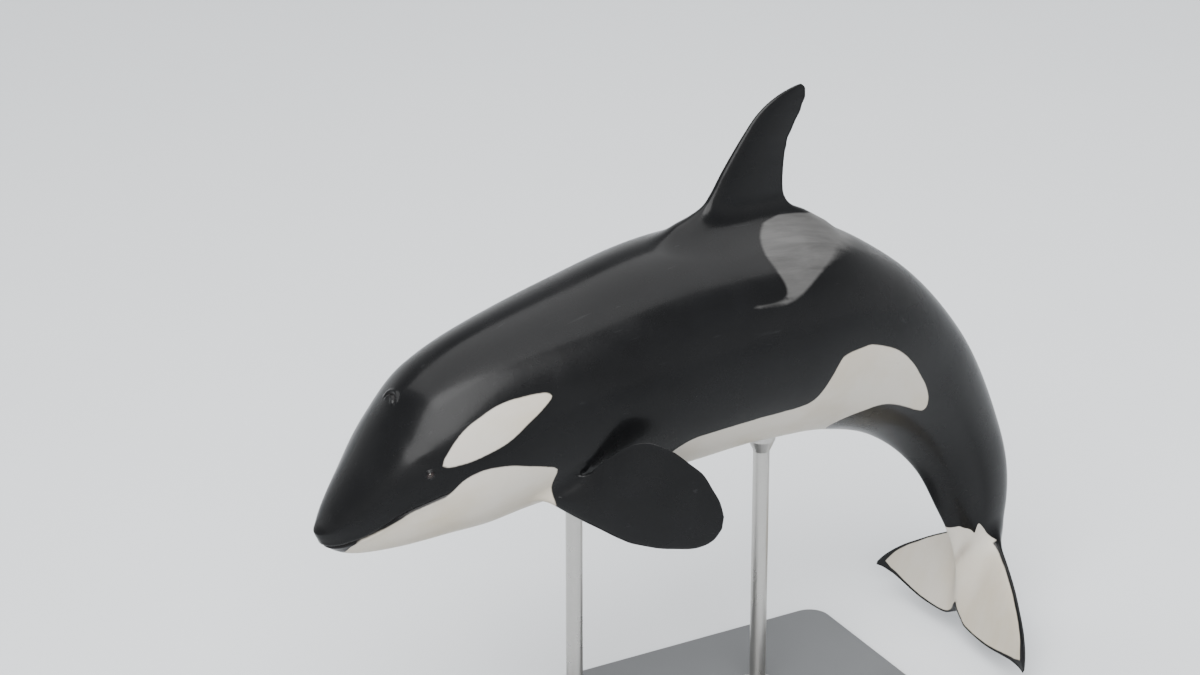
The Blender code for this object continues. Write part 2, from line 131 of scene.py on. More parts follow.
# Lips: distance below the mouth line, half width and share of their full height
LIPS = ((-0.017, 0.011, 1.0), (0.016, 0.010, 0.8))
# Soft swelling above the upper lip: height, distance above the mouth line and half width
UPPER_SWELL = (0.002, 0.030, 0.030)

EYE_PLACE = (0.107, 68.0)
EYE_RADIUS = 0.024
EYE_SUNK = 0.013
EYE_OPENING = (0.0185, 0.0120)
EYE_REACH = 0.12
LID_THICKNESS = 0.0032
LID_SOFTNESS = 0.014
CUP_DEPTH = 0.0045
# Rings of the lids that are drawn to an even edge: from, edge and to, where 1 is their opening
LID_RINGS = ((0.93, 1.0, 1.08), (0.78, 0.86, 0.93))
# Rim of the lids: height, place and half width
LID_RIM = (0.0010, 1.12, 0.10)
# Folds round the lids: share of their depth, place, half width, and whether they lie above the eye
EYE_FOLDS = ((1.0, 1.62, 0.085, True), (0.7, 2.15, 0.12, True), (0.8, 1.75, 0.12, False))
# Slope out from the eye's middle over which the folds below it give way to those above
EYE_FOLD_TURN = (-0.6, 0.3)
# Corners of the lids: depth, distance below the middle and half width, and where they run
LID_CORNER = (0.0012, 0.001, 0.0030)
LID_CORNER_SPAN = (1.0, 1.15, 1.5, 2.2)
CORNEA_WIDTH = 0.009
PUPIL_SIZE = (0.0065, 0.0042)
# How finely the rays of the iris run round it and across it
IRIS_RAYS = (3, 40)

BLOWHOLE_SHARE = 0.118
BLOWHOLE_RADIUS = 0.050
BLOWHOLE_HALF_ARC = math.radians(78)
BLOWHOLE_REACH = 0.2
BLOWHOLE_FADE = (-0.004, 0.03)
BLOWHOLE_GROOVE = 0.0070
# Height and radius of the mound under the blowhole
BLOWHOLE_MOUND = (0.007, 0.085)
# Rim and plug: height, distance from the groove and half width
BLOWHOLE_RIM = (0.006, 0.015, 0.010)

# Hollow of the neck and swelling of the brow: height, then place and half width along the body and
# down its side
SOFT_FORMS = ((-0.005, 0.232, 0.02, 88, 34), (0.006, 0.085, 0.03, 52, 16))
# Hollow along the tail stock: depth, place and half width down the side, and where it runs
FLANK_HOLLOW = (0.009, 96, 16)
FLANK_HOLLOW_SPAN = (0.52, 0.66, 0.84, 0.92)

# Dorsal fin: height above its seat, leading and trailing edge along the back, and thickness
FIN_SEAT = (0.35, 1.16)
FIN_PLAN = (
    (-0.100, -0.400, 0.460, 0.130),
    (0.000, -0.400, 0.370, 0.120),
    (0.050, -0.385, 0.300, 0.108),
    (0.100, -0.310, 0.268, 0.095),
    (0.150, -0.240, 0.254, 0.086),
    (0.220, -0.187, 0.249, 0.078),
    (0.320, -0.127, 0.254, 0.068),
    (0.420, -0.060, 0.272, 0.058),
    (0.520, 0.012, 0.314, 0.048),
    (0.600, 0.077, 0.358, 0.040),
    (0.660, 0.152, 0.377, 0.032),
    (0.700, 0.232, 0.376, 0.024),
    (0.722, 0.300, 0.362, 0.015),
    (0.730, 0.335, 0.352, 0.006),
)
FIN_ROWS = 60
# Nicks of its trailing edge: their depth, and the heights between which they run
NICK_DEPTH = 0.006
NICK_SPAN = (0.30, 0.42, 0.62, 0.70)
# How fast the nicks follow each other up the edge, and how fast their depth varies
NICK_RATE = 74
NICK_DEPTH_RATE = 31

# Flipper: distance out from its seat, lower edge, upper edge and thickness
FLIPPER_SEAT = (-0.95, 0.38, 1.76)
FLIPPER_SPREAD = math.radians(35.6)
FLIPPER_DROOP = math.radians(7.6)
FLIPPER_PLAN = (
    (-0.140, -0.020, 0.050, 0.090),
    (-0.050, -0.045, 0.070, 0.094),
    (0.050, -0.088, 0.110, 0.094),
    (0.150, -0.127, 0.165, 0.088),
    (0.230, -0.155, 0.260, 0.080),
    (0.330, -0.190, 0.347, 0.070),
    (0.420, -0.210, 0.375, 0.062),
    (0.530, -0.212, 0.352, 0.054),
    (0.640, -0.197, 0.293, 0.046),
    (0.710, -0.183, 0.250, 0.040),
    (0.770, -0.155, 0.175, 0.032),
    (0.820, -0.107, 0.105, 0.022),
    (0.850, -0.040, 0.030, 0.012),
)
FLIPPER_ROWS = 56

# Flukes: distance out from the middle, leading and trailing edge behind the notch, and thickness
FLUKE_PLAN = (
    (0.000, -0.470, 0.000, 0.100),
    (0.040, -0.455, 0.060, 0.096),
    (0.100, -0.435, 0.095, 0.088),
    (0.200, -0.380, 0.105, 0.074),
    (0.300, -0.320, 0.108, 0.060),
    (0.400, -0.255, 0.102, 0.048),
    (0.500, -0.180, 0.090, 0.037),
    (0.600, -0.100, 0.080, 0.027),
    (0.660, -0.040, 0.080, 0.021),
    (0.705, 0.015, 0.084, 0.015),
    (0.735, 0.065, 0.090, 0.008),
)
FLUKE_ROWS = 52
FLUKE_OUTLINE_ROWS = 60
FLUKE_SLOPE = math.radians(-113)
FLUKE_DROOP = 0.05
# Blades: least thickness, which starts this many-th part of the chord from the front, and points
# round them
BLADE_EDGE = 0.004
BLADE_NOSE = 20
BLADE_POINTS = 72
# A symmetric aerofoil's half thickness along its chord, and the peak of that curve
AEROFOIL = (0.2969, 0.1260, 0.3516, 0.2843, 0.1036)
AEROFOIL_PEAK = 0.10006

# Blends between the fins and the body: rounds of evening, length of an edge, and the angles from
# which an edge counts as sharp and as folded over
BLEND_PASSES = 4
BLEND_EDGE = 0.016
SHARP_EDGE = math.radians(55)
FOLDED_EDGE = math.radians(85)
# How far from both forms their corner lies at most, and how many reaches round it are blended
CORNER_GAP = 2e-4
CORNER_REACH = 0.01
ZONE_REACHES = 2.2
# Depth in a blend, from 0 at its middle to 1 at its ends: sharp points keep their place beyond the
# first, and folds are looked for up to the second and drawn smooth up to the third
SHARP_DEPTH = 0.6
FOLD_DEPTH = 0.7
FLAT_DEPTH = 0.85
FLATTEN_RINGS = 2
FLATTEN_ROUNDS = 25
RELAX_ROUNDS = 3
RELAX_SHARE = 0.6
TURN_ROUNDS = 3
COLLAPSE_ROUNDS = 3
SETTLE_ROUNDS = 4
TURN_GAIN = 0.05
# Surfaces are looked for up to the first number of reaches, and a point farther off gets the second
SEARCH_REACHES = 1.2
FAR_REACHES = 2.0
LEAST_SQUARE = 0.2
# A gap whose way is this square to the face needs no other normal, and a nearer point takes it
SQUARE_ON = 0.95
TOUCHING = 0.002

# Markings of the left side, as closed outlines of (share, angle), and how far round them they count
MARKING_REACH = 0.12
OUTLINE_ROUNDING = 5
WHITE_UNDERSIDE = (
    (0.015, 180), (0.0145, 150), (0.021, 113), (0.033, 105.5), (0.048, 99), (0.067, 91.5), (0.085, 89),
    (0.105, 89), (0.114, 89), (0.127, 83), (0.137, 83), (0.147, 83), (0.165, 86), (0.182, 91),
    (0.201, 97.5), (0.215, 103), (0.219, 105), (0.214, 110), (0.209, 119), (0.208, 131.5),
    (0.215, 142), (0.240, 150), (0.280, 152), (0.310, 140), (0.343, 118.5), (0.371, 117),
    (0.420, 117), (0.473, 118), (0.498, 116), (0.512, 114.5), (0.521, 109), (0.527, 100),
    (0.533, 91), (0.537, 87), (0.549, 85.5), (0.561, 82), (0.573, 80), (0.588, 80), (0.610, 79),
    (0.626, 81), (0.642, 84), (0.661, 89), (0.680, 95), (0.696, 102), (0.701, 109), (0.699, 113),
    (0.682, 114.5), (0.663, 115.5), (0.646, 116), (0.631, 118), (0.620, 122), (0.610, 126.5),
    (0.594, 132.5), (0.588, 139.5), (0.585, 150), (0.620, 165), (0.700, 172), (0.720, 180),
    (0.720, 205), (0.400, 205), (0.015, 205),
)
EYE_PATCH = (
    (0.119, 67), (0.121, 69.5), (0.129, 72.5), (0.141, 74.5), (0.151, 75.5), (0.171, 76),
    (0.187, 75), (0.199, 71.5), (0.210, 70), (0.222, 66.5), (0.231, 64), (0.233, 62), (0.230, 60),
    (0.223, 58.5), (0.205, 56), (0.187, 54.5), (0.177, 54.5), (0.167, 55), (0.155, 56),
    (0.144, 57.5), (0.134, 61), (0.125, 64),
)
SADDLE = (
    (0.487, -20), (0.487, 3), (0.477, 7), (0.470, 11.5), (0.464, 20), (0.461, 30), (0.465, 39),
    (0.470, 46.5), (0.4715, 51.5), (0.470, 55.5), (0.462, 57), (0.451, 57.5), (0.441, 57),
    (0.431, 56), (0.441, 58.5), (0.461, 59.5), (0.477, 58), (0.488, 54), (0.500, 48),
    (0.512, 41.5), (0.522, 35.5), (0.531, 29), (0.550, 18), (0.575, 8), (0.590, 0), (0.590, -20),
)
# Where the white of the flukes' underside starts on the stock: angle and share
FLUKE_WHITE_START = (
    (55, 0.950), (70, 0.923), (85, 0.914), (95, 0.908), (102, 0.9025), (106, 0.9000), (109, 0.9035),
    (112, 0.9115), (115, 0.9115), (119, 0.9074), (125, 0.9045), (131, 0.9030), (139, 0.8995),
    (158, 0.9010), (180, 0.9010),
)
# Painted shade on that white beside the ridge of the stock, brownish: its place, and its size along and
# round
RIDGE_SHADE_PLACE = (0.935, 141)
RIDGE_SHADE_SIZE = (0.085, 0.03)
# Black rim of the flukes' underside: distance out from the middle and width of the rim
FLUKE_RIM = ((0.0, 0.010), (0.3, 0.012), (0.5, 0.016), (0.62, 0.024), (0.74, 0.060))
# The stock's white: from how far before the notch, and half its width
STOCK_WHITE = (-0.33, 0.11)
FLUKE_MARKING_REACH = 0.1
FLUKE_NEAR = 1.1
FLUKE_SHARE = 0.8
# How steeply the white ends round the flukes' edges
FLUKE_TURN = 6
# Saddle: softness of its edge, how much softer it is behind, and where that starts and ends
SADDLE_SOFTNESS = (0.010, 0.11)
SADDLE_SOFTENS = (0.505, 0.59)
SADDLE_LIMIT = 4
# It ends where the fin stands this far off the plain body
SADDLE_FIN = (0.025, 0.075)
# Haze behind the saddle: strength, where it runs, and the angles over which it fades
HAZE_STRENGTH = 2.3
HAZE_SPAN = (0.48, 0.52, 0.55, 0.72)
HAZE_FADE = (12, 46)
# Painted shade in the mouth line and the blowhole's groove: half width, fade at their ends, and how far
# past them and how softly they stop
FOLD_WIDTH = 0.0055
FOLD_FADE = (-0.001, 0.05)
FOLD_STOP = (0.02, 0.005)
# Dark rim of the lids: how far from the eye, its place and half width
LID_DARK = (0.06, 1.03, 0.12)

# Half the width of a white marking's edge, how ragged the saddle is, and where its edge runs
MARKING_EDGE = 0.004
SADDLE_RAGGED = 1.2
SADDLE_EDGE = (-0.9, 1.1)
# Colours of marks on the hide, and of the shade painted in its folds and beside the stock's ridge
BLACK_SCRATCH = (0.06, 0.062, 0.065)
GREY_SCRATCH = (0.09, 0.09, 0.09)
WHITE_SCRATCH = (0.27, 0.26, 0.245)
WHITE_STAINED = (0.86, 0.79, 0.66)
VEIN = (0.36, 0.35, 0.325)
# Painted shade beside the ridge of the stock
RIDGE_SHADE_COLOUR = (0.13, 0.105, 0.085)
LID_SKIN = (0.012, 0.009, 0.009)
FOLD_SHADOW = (0.006, 0.005, 0.005)
# Colours of the eye, and distances from its middle at which they change
IRIS_LIGHT = (0.034, 0.018, 0.010)
IRIS_EDGE = (0.010, 0.010, 0.014)
EYE_WHITE_DARK = (0.016, 0.011, 0.010)
EYE_WHITE_LIGHT = (0.040, 0.027, 0.024)
PUPIL = (0.002, 0.002, 0.003)
IRIS_EDGE_SPAN = (0.0095, 0.0120)
EYE_WHITE_SPAN = (0.0125, 0.0145)
PUPIL_EDGE = (0.92, 1.08)
PAINT_SPECK = (0.22, 0.22, 0.23)

# Camera, fitted to the outline of the animal
CAMERA_TURN = math.radians(-29.5)
CAMERA_TILT = math.radians(24.6)
CAMERA_TARGET = (-0.15, 0.0, 1.87)
CAMERA_DISTANCE = 21.495
CAMERA_OFFSET = (-0.299, 0.399)
CAMERA_LENS = 122.84
CAMERA_SENSOR = 36.0
CAMERA_CLIP = 400.0

# Lights: where they hang, and the direction in which the key light shines
SOFTBOX_PLACE = (0.5, 1.0, 10.0)
SOFTBOX_SIZE = (16.0, 11.0)
KEY_PLACE = (-6.0, -6.5, 9.0)
KEY_DIRECTION = (0.45, 0.60, -0.66)
# Tints of the surroundings, and the heights between which the wall turns into the ceiling
WALL_TINT = (0.97, 0.985, 1.0)
CEILING_TINT = (0.93, 0.96, 1.0)
WALL_SPAN = (0.02, 0.75)


class SkinSettings(bpy.types.PropertyGroup):
    """Form and colours of the skin."""

    ring_points: IntProperty(
        name="Points Round the Body", description="Points of each ring of the body", default=144
    )
    ring_step: FloatProperty(
        name="Ring Step", description="Distance between the body's rings", default=0.024, unit="LENGTH"
    )
    mouth_depth: FloatProperty(
        name="Mouth Depth", description="Depth of the closed mouth line", default=0.0075, unit="LENGTH"
    )
    lip_height: FloatProperty(
        name="Lip Height", description="How far the lips swell", default=0.005, unit="LENGTH"
    )
    fold_depth: FloatProperty(
        name="Fold Depth", description="Depth of the folds round the eye", default=0.0013, unit="LENGTH"
    )
    blowhole_depth: FloatProperty(
        name="Blowhole Depth", description="Depth of the closed blowhole", default=0.007, unit="LENGTH"
    )
    fin_fillet: FloatProperty(
        name="Fin Fillet", description="Reach of the blend at the dorsal fin", default=0.17, unit="LENGTH"
    )
    flipper_fillet: FloatProperty(
        name="Flipper Fillet", description="Reach of the blend at each flipper", default=0.05, unit="LENGTH"
    )
    fluke_fillet: FloatProperty(
        name="Fluke Fillet", description="Reach of the blend at the flukes", default=0.12, unit="LENGTH"
    )
    black: FloatVectorProperty(
        name="Black Hide",
        description="Colour of the black hide",
        subtype="COLOR",
        default=(0.0034, 0.0035, 0.0038),
    )
    white: FloatVectorProperty(
        name="White Hide",
        description="Colour of the white hide",
        subtype="COLOR",
        default=(0.44, 0.415, 0.37),
    )
    grey: FloatVectorProperty(
        name="Saddle Grey",
        description="Colour of the saddle",
        subtype="COLOR",
        default=(0.072, 0.071, 0.070),
    )


class EyeSettings(bpy.types.PropertyGroup):
    """Form and colours of the eyes."""

    segments: IntProperty(name="Segments", description="Segments round each eyeball", default=64)
    cornea: FloatProperty(
        name="Cornea", description="How far the cornea bulges", default=0.0012, unit="LENGTH"
    )
    iris: FloatVectorProperty(
        name="Iris", description="Colour of the iris", subtype="COLOR", default=(0.012, 0.006, 0.004)
    )


class StandSettings(bpy.types.PropertyGroup):
    """Colours of the stand."""

    paint: FloatVectorProperty(
        name="Base Paint", description="Colour of the base", subtype="COLOR", default=(0.11, 0.115, 0.12)
    )
    metal: FloatVectorProperty(
        name="Rod Metal", description="Colour of the rods", subtype="COLOR", default=(0.50, 0.49, 0.47)
    )


class StageSettings(bpy.types.PropertyGroup):
    """Floor and lights of the studio."""

    floor_size: FloatProperty(
        name="Floor Size", description="Width of the floor", default=160.0, unit="LENGTH"
    )
    floor: FloatVectorProperty(
        name="Floor", description="Colour of the floor", subtype="COLOR", default=(0.62, 0.64, 0.66)
    )
    overhead_power: FloatProperty(
        name="Overhead Power", description="Power of the softbox overhead, in watts", default=1900.0
    )
    key_strength: FloatProperty(
        name="Key Strength",
        description="Strength of the key light, in watts per square metre",
        default=5.5,
    )
    key_softness: FloatProperty(
        name="Key Softness", description="How wide the key light is", default=0.9, subtype="ANGLE"
    )
    wall: FloatProperty(
        name="Wall", description="Brightness of the surroundings at the horizon", default=1.25
    )
    ceiling: FloatProperty(
        name="Ceiling", description="Brightness of the surroundings overhead", default=0.30
    )


# Curves and places on the body


def smooth_curve(knots, values, places):
    """Reads a curve through the knots that doesn't overshoot them."""
    knots = np.asarray(knots, float)
    values = np.asarray(values, float)
    places = np.asarray(places, float)
    step = np.diff(knots)
    rise = np.diff(values) / step
    slope = np.zeros_like(values)
    slope[0] = rise[0]
    slope[-1] = rise[-1]
    for i in range(1, len(knots) - 1):
        if rise[i - 1] * rise[i] > 0:
            before = 2 * step[i] + step[i - 1]
            after = step[i] + 2 * step[i - 1]
            slope[i] = (before + after) / (before / rise[i - 1] + after / rise[i])
    i = np.clip(np.searchsorted(knots, places, side="right") - 1, 0, len(step) - 1)
    t = (places - knots[i]) / step[i]
    start = values[i] * (1 + 2 * t) + slope[i] * step[i] * t
    end = values[i + 1] * (3 - 2 * t) + slope[i + 1] * step[i] * (t - 1)
    return start * (1 - t) ** 2 + end * t**2


def smooth_table(rows, count):
    """Rows between the rows of a table, spread evenly over it."""
    knots = range(len(rows))
    places = np.linspace(0, len(rows) - 1, count)
    return np.stack([smooth_curve(knots, column, places) for column in zip(*rows)], -1)


def smooth_step(low, high, value):
    """A soft rise from nought at low to 1 at high."""
    t = np.clip((value - low) / (high - low), 0, 1)
    return t * t * (3 - 2 * t)


def plateau(value, rise, top, edge, foot):
    """A soft rise from nought to 1, and a soft fall back to nought."""
    return smooth_step(rise, top, value) * (1 - smooth_step(edge, foot, value))


def bump(value, width):
    """A soft hill of height 1 round nought."""
    return np.exp(-((value / width) ** 2))


def batches(count):
    """Slices that cut this many points into batches."""
    return [slice(start, start + BATCH) for start in range(0, count, BATCH)]


def midline(shares):
    """The body's midline in the plane of symmetry: x, z and slope at these shares of its length."""
    even = np.linspace(0, 1, MIDLINE_STEPS + 1)
    slopes = smooth_curve(np.linspace(0, 1, len(MIDLINE_SLOPES)), np.radians(MIDLINE_SLOPES), even)
    middle = (slopes[1:] + slopes[:-1]) / 2
    run = BODY_LENGTH / MIDLINE_STEPS
    x = SNOUT_TIP[0] + np.concatenate([[0], np.cumsum(np.cos(middle) * run)])
    z = SNOUT_TIP[2] + np.concatenate([[0], np.cumsum(np.sin(middle) * run)])
    return np.interp(shares, even, x), np.interp(shares, even, z), np.interp(shares, even, slopes)


def body_size(shares):
    """Height of the back, depth of the belly, half width and fullness above and below."""
    places, *sizes = zip(*STATIONS)
    along = np.sqrt(np.clip(shares, 0, 1))
    sizes = [smooth_curve(np.sqrt(places), size, along) for size in sizes]
    places, *fullness = zip(*FULLNESS)
    return sizes + [smooth_curve(places, full, shares) for full in fullness]


def body_points(shares, degrees):
    """Points of the plain body at these shares and angles."""
    shares = np.asarray(shares, float)
    angle = np.radians(np.asarray(degrees, float))
    back, belly, half, above, below = body_size(shares)
    x, z, slope = midline(shares)
    cosine, sine = np.cos(angle), np.sin(angle)
    power = 2 / np.where(cosine > 0, above, below)
    up = np.where(cosine > 0, back, belly) * np.sign(cosine) * np.abs(cosine) ** power
    out = half * np.sign(sine) * np.abs(sine) ** power
    return np.stack([x - np.sin(slope) * up, -out, z + np.cos(slope) * up], -1)


def body_frames(shares, degrees):
    """Points of the plain body, and the directions out of it, tailwards and down round it."""
    shares = np.asarray(shares, float)
    degrees = np.asarray(degrees, float)
    points = body_points(shares, degrees)
    tailward = unit(body_points(shares + ALONG_STEP, degrees) - points)
    above, below = body_points(shares, degrees - ROUND_STEP), body_points(shares, degrees + ROUND_STEP)
    down = unit(below - above)
    out = unit(np.cross(down, tailward))
    return points, out, tailward, down


def unit(vectors):
    return vectors / np.maximum(np.linalg.norm(vectors, axis=-1, keepdims=True), 1e-12)


def body_places(points):
    """Share and angle of points on or near the skin, and their distance from the midline."""
    stations = np.linspace(0, 1, STATION_COUNT)
    x, z, slope = midline(stations)
    nearest = np.empty(len(points), int)
    for part in batches(len(points)):
        gap = (points[part, 0:1] - x) ** 2 + (points[part, 2:3] - z) ** 2
        nearest[part] = gap.argmin(1)
    away_x = points[:, 0] - x[nearest]
    away_z = points[:, 2] - z[nearest]
    along = away_x * np.cos(slope[nearest]) + away_z * np.sin(slope[nearest])
    shares = np.clip(stations[nearest] + along / BODY_LENGTH, 0, 1)
    mid_x, mid_z, turn = midline(shares)
    up = -(points[:, 0] - mid_x) * np.sin(turn) + (points[:, 2] - mid_z) * np.cos(turn)
    out = -points[:, 1]
    back, belly, half, above, below = body_size(shares)
    power = np.where(up > 0, above, below) / 2
    cosine = np.sign(up) * (np.abs(up) / np.maximum(np.where(up > 0, back, belly), 1e-4)) ** power
    sine = np.sign(out) * (np.abs(out) / np.maximum(half, 1e-4)) ** power
    return shares, np.degrees(np.arctan2(sine, cosine)), np.hypot(up, out)


# Paths, outlines and how far points are from them


def path_offsets(points, path, outs):
    """For points near a path on the skin: distance across it and along it, and its whole length."""
    tangents = unit(np.gradient(path, axis=0))
    across = unit(np.cross(outs, tangents))
    length = np.concatenate([[0], np.cumsum(np.linalg.norm(np.diff(path, axis=0), axis=1))])
    nearest = np.empty(len(points), int)
    for part in batches(len(points)):
        nearest[part] = ((points[part, None] - path[None]) ** 2).sum(-1).argmin(1)
    away = points - path[nearest]
    side = (away * across[nearest]).sum(-1)
    along = length[nearest] + (away * tangents[nearest]).sum(-1)
    return side, along, length[-1]


def path_gaps(points, path):
    """Distance of points from the nearest of a path's points."""
    gaps = np.empty(len(points))
    for part in batches(len(points)):
        gaps[part] = np.sqrt(((points[part, None] - path[None]) ** 2).sum(-1).min(1))
    return gaps


def closed_curve(outline, steps=6):
    """A smooth closed curve through the outline's points."""
    points = np.asarray(outline, float)
    before, after, next_after = (np.roll(points, shift, 0) for shift in (1, -1, -2))
    curve = []
    for i in range(len(points)):
        for t in np.arange(steps) / steps:
            a = after[i] - before[i]
            b = 2 * before[i] - 5 * points[i] + 4 * after[i] - next_after[i]
            c = 3 * (points[i] - after[i]) + next_after[i] - before[i]
            curve.append(points[i] + 0.5 * (a * t + b * t**2 + c * t**3))
    curve = np.array(curve)
    shifts = range(-OUTLINE_ROUNDING, OUTLINE_ROUNDING + 1)
    return sum(np.roll(curve, shift, 0) for shift in shifts) / len(shifts)


def signed_distance(places, outline):
    """How far flat points are inside a closed outline, or outside it below nought."""
    edge = np.roll(outline, -1, 0) - outline
    end = outline + edge
    square = np.maximum((edge**2).sum(-1), 1e-12)
    rise = np.where(np.abs(edge[:, 1]) < 1e-12, 1e-12, edge[:, 1])
    result = np.empty(len(places))
    for part in batches(len(places)):
        away = places[part, None] - outline[None]
        t = np.clip((away * edge).sum(-1) / square, 0, 1)
        gap = np.linalg.norm(away - t[..., None] * edge, axis=-1).min(1)
        x, y = places[part, None, 0], places[part, None, 1]
        crosses = (outline[:, 1] > y) != (end[:, 1] > y)
        reach = outline[:, 0] + (y - outline[:, 1]) / rise * edge[:, 0]
        inside = (crosses & (x < reach)).sum(1) % 2 == 1
        result[part] = np.where(inside, gap, -gap)
    return result


def unrolled(shares, degrees):
    """Places on the skin laid flat: metres along the body, and round it from the middle of the back."""
    back, belly, half, _, _ = body_size(np.clip(shares, 0.01, 1))
    return np.stack([shares * BODY_LENGTH, np.radians(degrees) * (back + belly + 2 * half) / 4], -1)


def marking(shares, degrees, outline):
    """How far places on the skin are inside a marking that is mirrored on both sides."""
    curve = closed_curve(outline)
    flat = unrolled(curve[:, 0], curve[:, 1])
    spots = unrolled(shares, np.abs(degrees))
    low, high = flat.min(0) - MARKING_REACH, flat.max(0) + MARKING_REACH
    near = ((spots > low) & (spots < high)).all(1)
    result = np.full(len(spots), -MARKING_REACH)
    result[near] = np.clip(signed_distance(spots[near], flat), -MARKING_REACH, MARKING_REACH)
    return result


def mouth_path(count=400):
    """The mouth line over both sides and round the chin, with the direction out of the skin."""
    rows = smooth_table(MOUTH_LINE, count // 2)
    shares = np.concatenate([rows[:, 0], rows[-2::-1, 0]])
    degrees = np.concatenate([rows[:, 1], 360 - rows[-2::-1, 1]])
    points, outs, _, _ = body_frames(shares, degrees)
    return points, outs


def blowhole_path(radius=BLOWHOLE_RADIUS, count=80):
    """The crescent of the blowhole, its horns towards the snout."""
    middle, beside = body_points((BLOWHOLE_SHARE, BLOWHOLE_SHARE), (0, 1))
    turns = np.linspace(-BLOWHOLE_HALF_ARC, BLOWHOLE_HALF_ARC, count)
    shares = BLOWHOLE_SHARE + radius * (np.cos(turns) - 0.5) / BODY_LENGTH
    degrees = radius * np.sin(turns) / np.linalg.norm(beside - middle)
    points, outs, _, _ = body_frames(shares, degrees)
    return points, outs


def eye_axes(side):
    """The middle of the lids on the skin, and the directions out, tailwards and up."""
    share, degrees = EYE_PLACE
    points, outs, tailward, _ = body_frames([share], [degrees * side])
    up = np.cross(outs[0], tailward[0]) * side
    return points[0], outs[0], tailward[0], up


# Meshes


def deselect():
    if bpy.context.object and bpy.context.object.mode != "OBJECT":
        bpy.ops.object.mode_set(mode="OBJECT")
    bpy.ops.object.select_all(action="DESELECT")


def wrapped_grid(name, rows, columns, place):
    """A grid from the Add menu, wrapped into a closed form: place gives points for rows and turns."""
    deselect()
    bpy.ops.mesh.primitive_grid_add(x_subdivisions=columns, y_subdivisions=rows - 1, size=1)
    obj = bpy.context.object
    obj.name = name
    obj.data.name = name
    flat = coordinates(obj)
    row = np.rint((flat[:, 1] + 0.5) * (rows - 1)).astype(int)
    turn = np.rint((flat[:, 0] + 0.5) * columns).astype(int) % columns
    write_coordinates(obj, place(row, turn / columns))
    bpy.ops.object.mode_set(mode="EDIT")
    bpy.ops.mesh.select_all(action="SELECT")
    bpy.ops.mesh.remove_doubles(threshold=1e-5)
    bpy.ops.mesh.fill_holes(sides=0)
    bpy.ops.mesh.normals_make_consistent(inside=False)
    bpy.ops.object.mode_set(mode="OBJECT")
    return obj


def coordinates(obj):
    points = np.empty(len(obj.data.vertices) * 3)
    obj.data.vertices.foreach_get("co", points)
    return points.reshape(-1, 3)


def write_coordinates(obj, points):
    obj.data.vertices.foreach_set("co", np.ascontiguousarray(points, float).ravel())
    obj.data.update()


def write_values(obj, name, values):
    """Keeps a number for every point of the mesh, for its material to read."""
    attribute = obj.data.attributes.new(name, "FLOAT", "POINT")
    attribute.data.foreach_set("value", np.asarray(values, np.float32))


def write_vectors(obj, name, vectors):
    attribute = obj.data.attributes.new(name, "FLOAT_VECTOR", "POINT")
    attribute.data.foreach_set("vector", np.asarray(vectors, np.float32).ravel())


def read_values(obj, name):
    values = np.empty(len(obj.data.vertices), np.float32)
    obj.data.attributes[name].data.foreach_get("value", values)
    return values.astype(float)


def read_places(body):
    """Share and angle that are kept on every point of the body."""
    degrees = np.degrees(np.arctan2(read_values(body, "sine"), read_values(body, "cosine")))
    return read_values(body, "share"), degrees


def body_mesh(settings):
    """The body as one closed form, with its share and turn kept on every point."""
    head = HEAD_SHARE * np.linspace(0, 1, HEAD_RINGS) ** HEAD_CROWDING
    step = settings.ring_step / BODY_LENGTH
    rest = np.linspace(HEAD_SHARE, 1, int((1 - HEAD_SHARE) / step) + 1)[1:]
    shares = np.concatenate([head, rest])
    body = wrapped_grid(
        "orca_skin",
        len(shares),
        settings.ring_points,
        lambda row, turn: body_points(shares[row], turn * 360),
    )
    found, degrees, _ = body_places(coordinates(body))
    middle = found < 1e-5
    write_values(body, "share", found)
    write_values(body, "cosine", np.where(middle, 0, np.cos(np.radians(degrees))))
    write_values(body, "sine", np.where(middle, 0, np.sin(np.radians(degrees))))
    return body


def wanted_edge(points):
    """How long an edge may be at these points of the head, finer near its details."""
    eyes = np.array([eye_axes(side)[0] for side in SIDES.values()])
    details = (mouth_path()[0], blowhole_path()[0], eyes)
    return np.minimum.reduce([
        shortest + np.maximum(0, path_gaps(points, path) - reach) * growth
        for path, (shortest, reach, growth) in zip(details, FINE_EDGES)
    ])


def refine_head(body):
    """Splits the edges of the head that are longer than the detail there wants."""
    for _ in range(REFINE_ROUNDS):
        work = bmesh.new()
        work.from_mesh(body.data)
        work.verts.ensure_lookup_table()
        share = work.verts.layers.float["share"]
        near = [vertex for vertex in work.verts if vertex[share] < DETAIL_SHARE]
        limit = np.full(len(work.verts), 1.0)
        limit[[vertex.index for vertex in near]] = wanted_edge(np.array([vertex.co for vertex in near]))
        long_edges = [
            edge
            for edge in work.edges
            if edge.calc_length() > SPLIT_ABOVE * max(limit[end.index] for end in edge.verts)
        ]
        if not long_edges:
            work.free()
            break
        bmesh.ops.subdivide_edges(work, edges=long_edges, cuts=1, use_grid_fill=True)
        work.to_mesh(body.data)
        work.free()
        write_coordinates(body, body_points(*read_places(body)))


def shape_mouth(points, outs, settings):
    """Presses the mouth line in and swells the lips."""
    path, path_outs = mouth_path()
    near = path_gaps(points, path) < MOUTH_REACH
    side, along, length = path_offsets(points[near], path, path_outs)
    open_part = smooth_step(0.0, MOUTH_FADE, np.minimum(along, length - along))
    height = -settings.mouth_depth * bump(side, MOUTH_GROOVE) * open_part
    lips = sum(share * bump(side - below, width) for below, width, share in LIPS)
    height += settings.lip_height * open_part * lips
    swell, above, width = UPPER_SWELL
    height += swell * open_part * bump(side + above, width)
    points[near] += outs[near] * height[:, None]


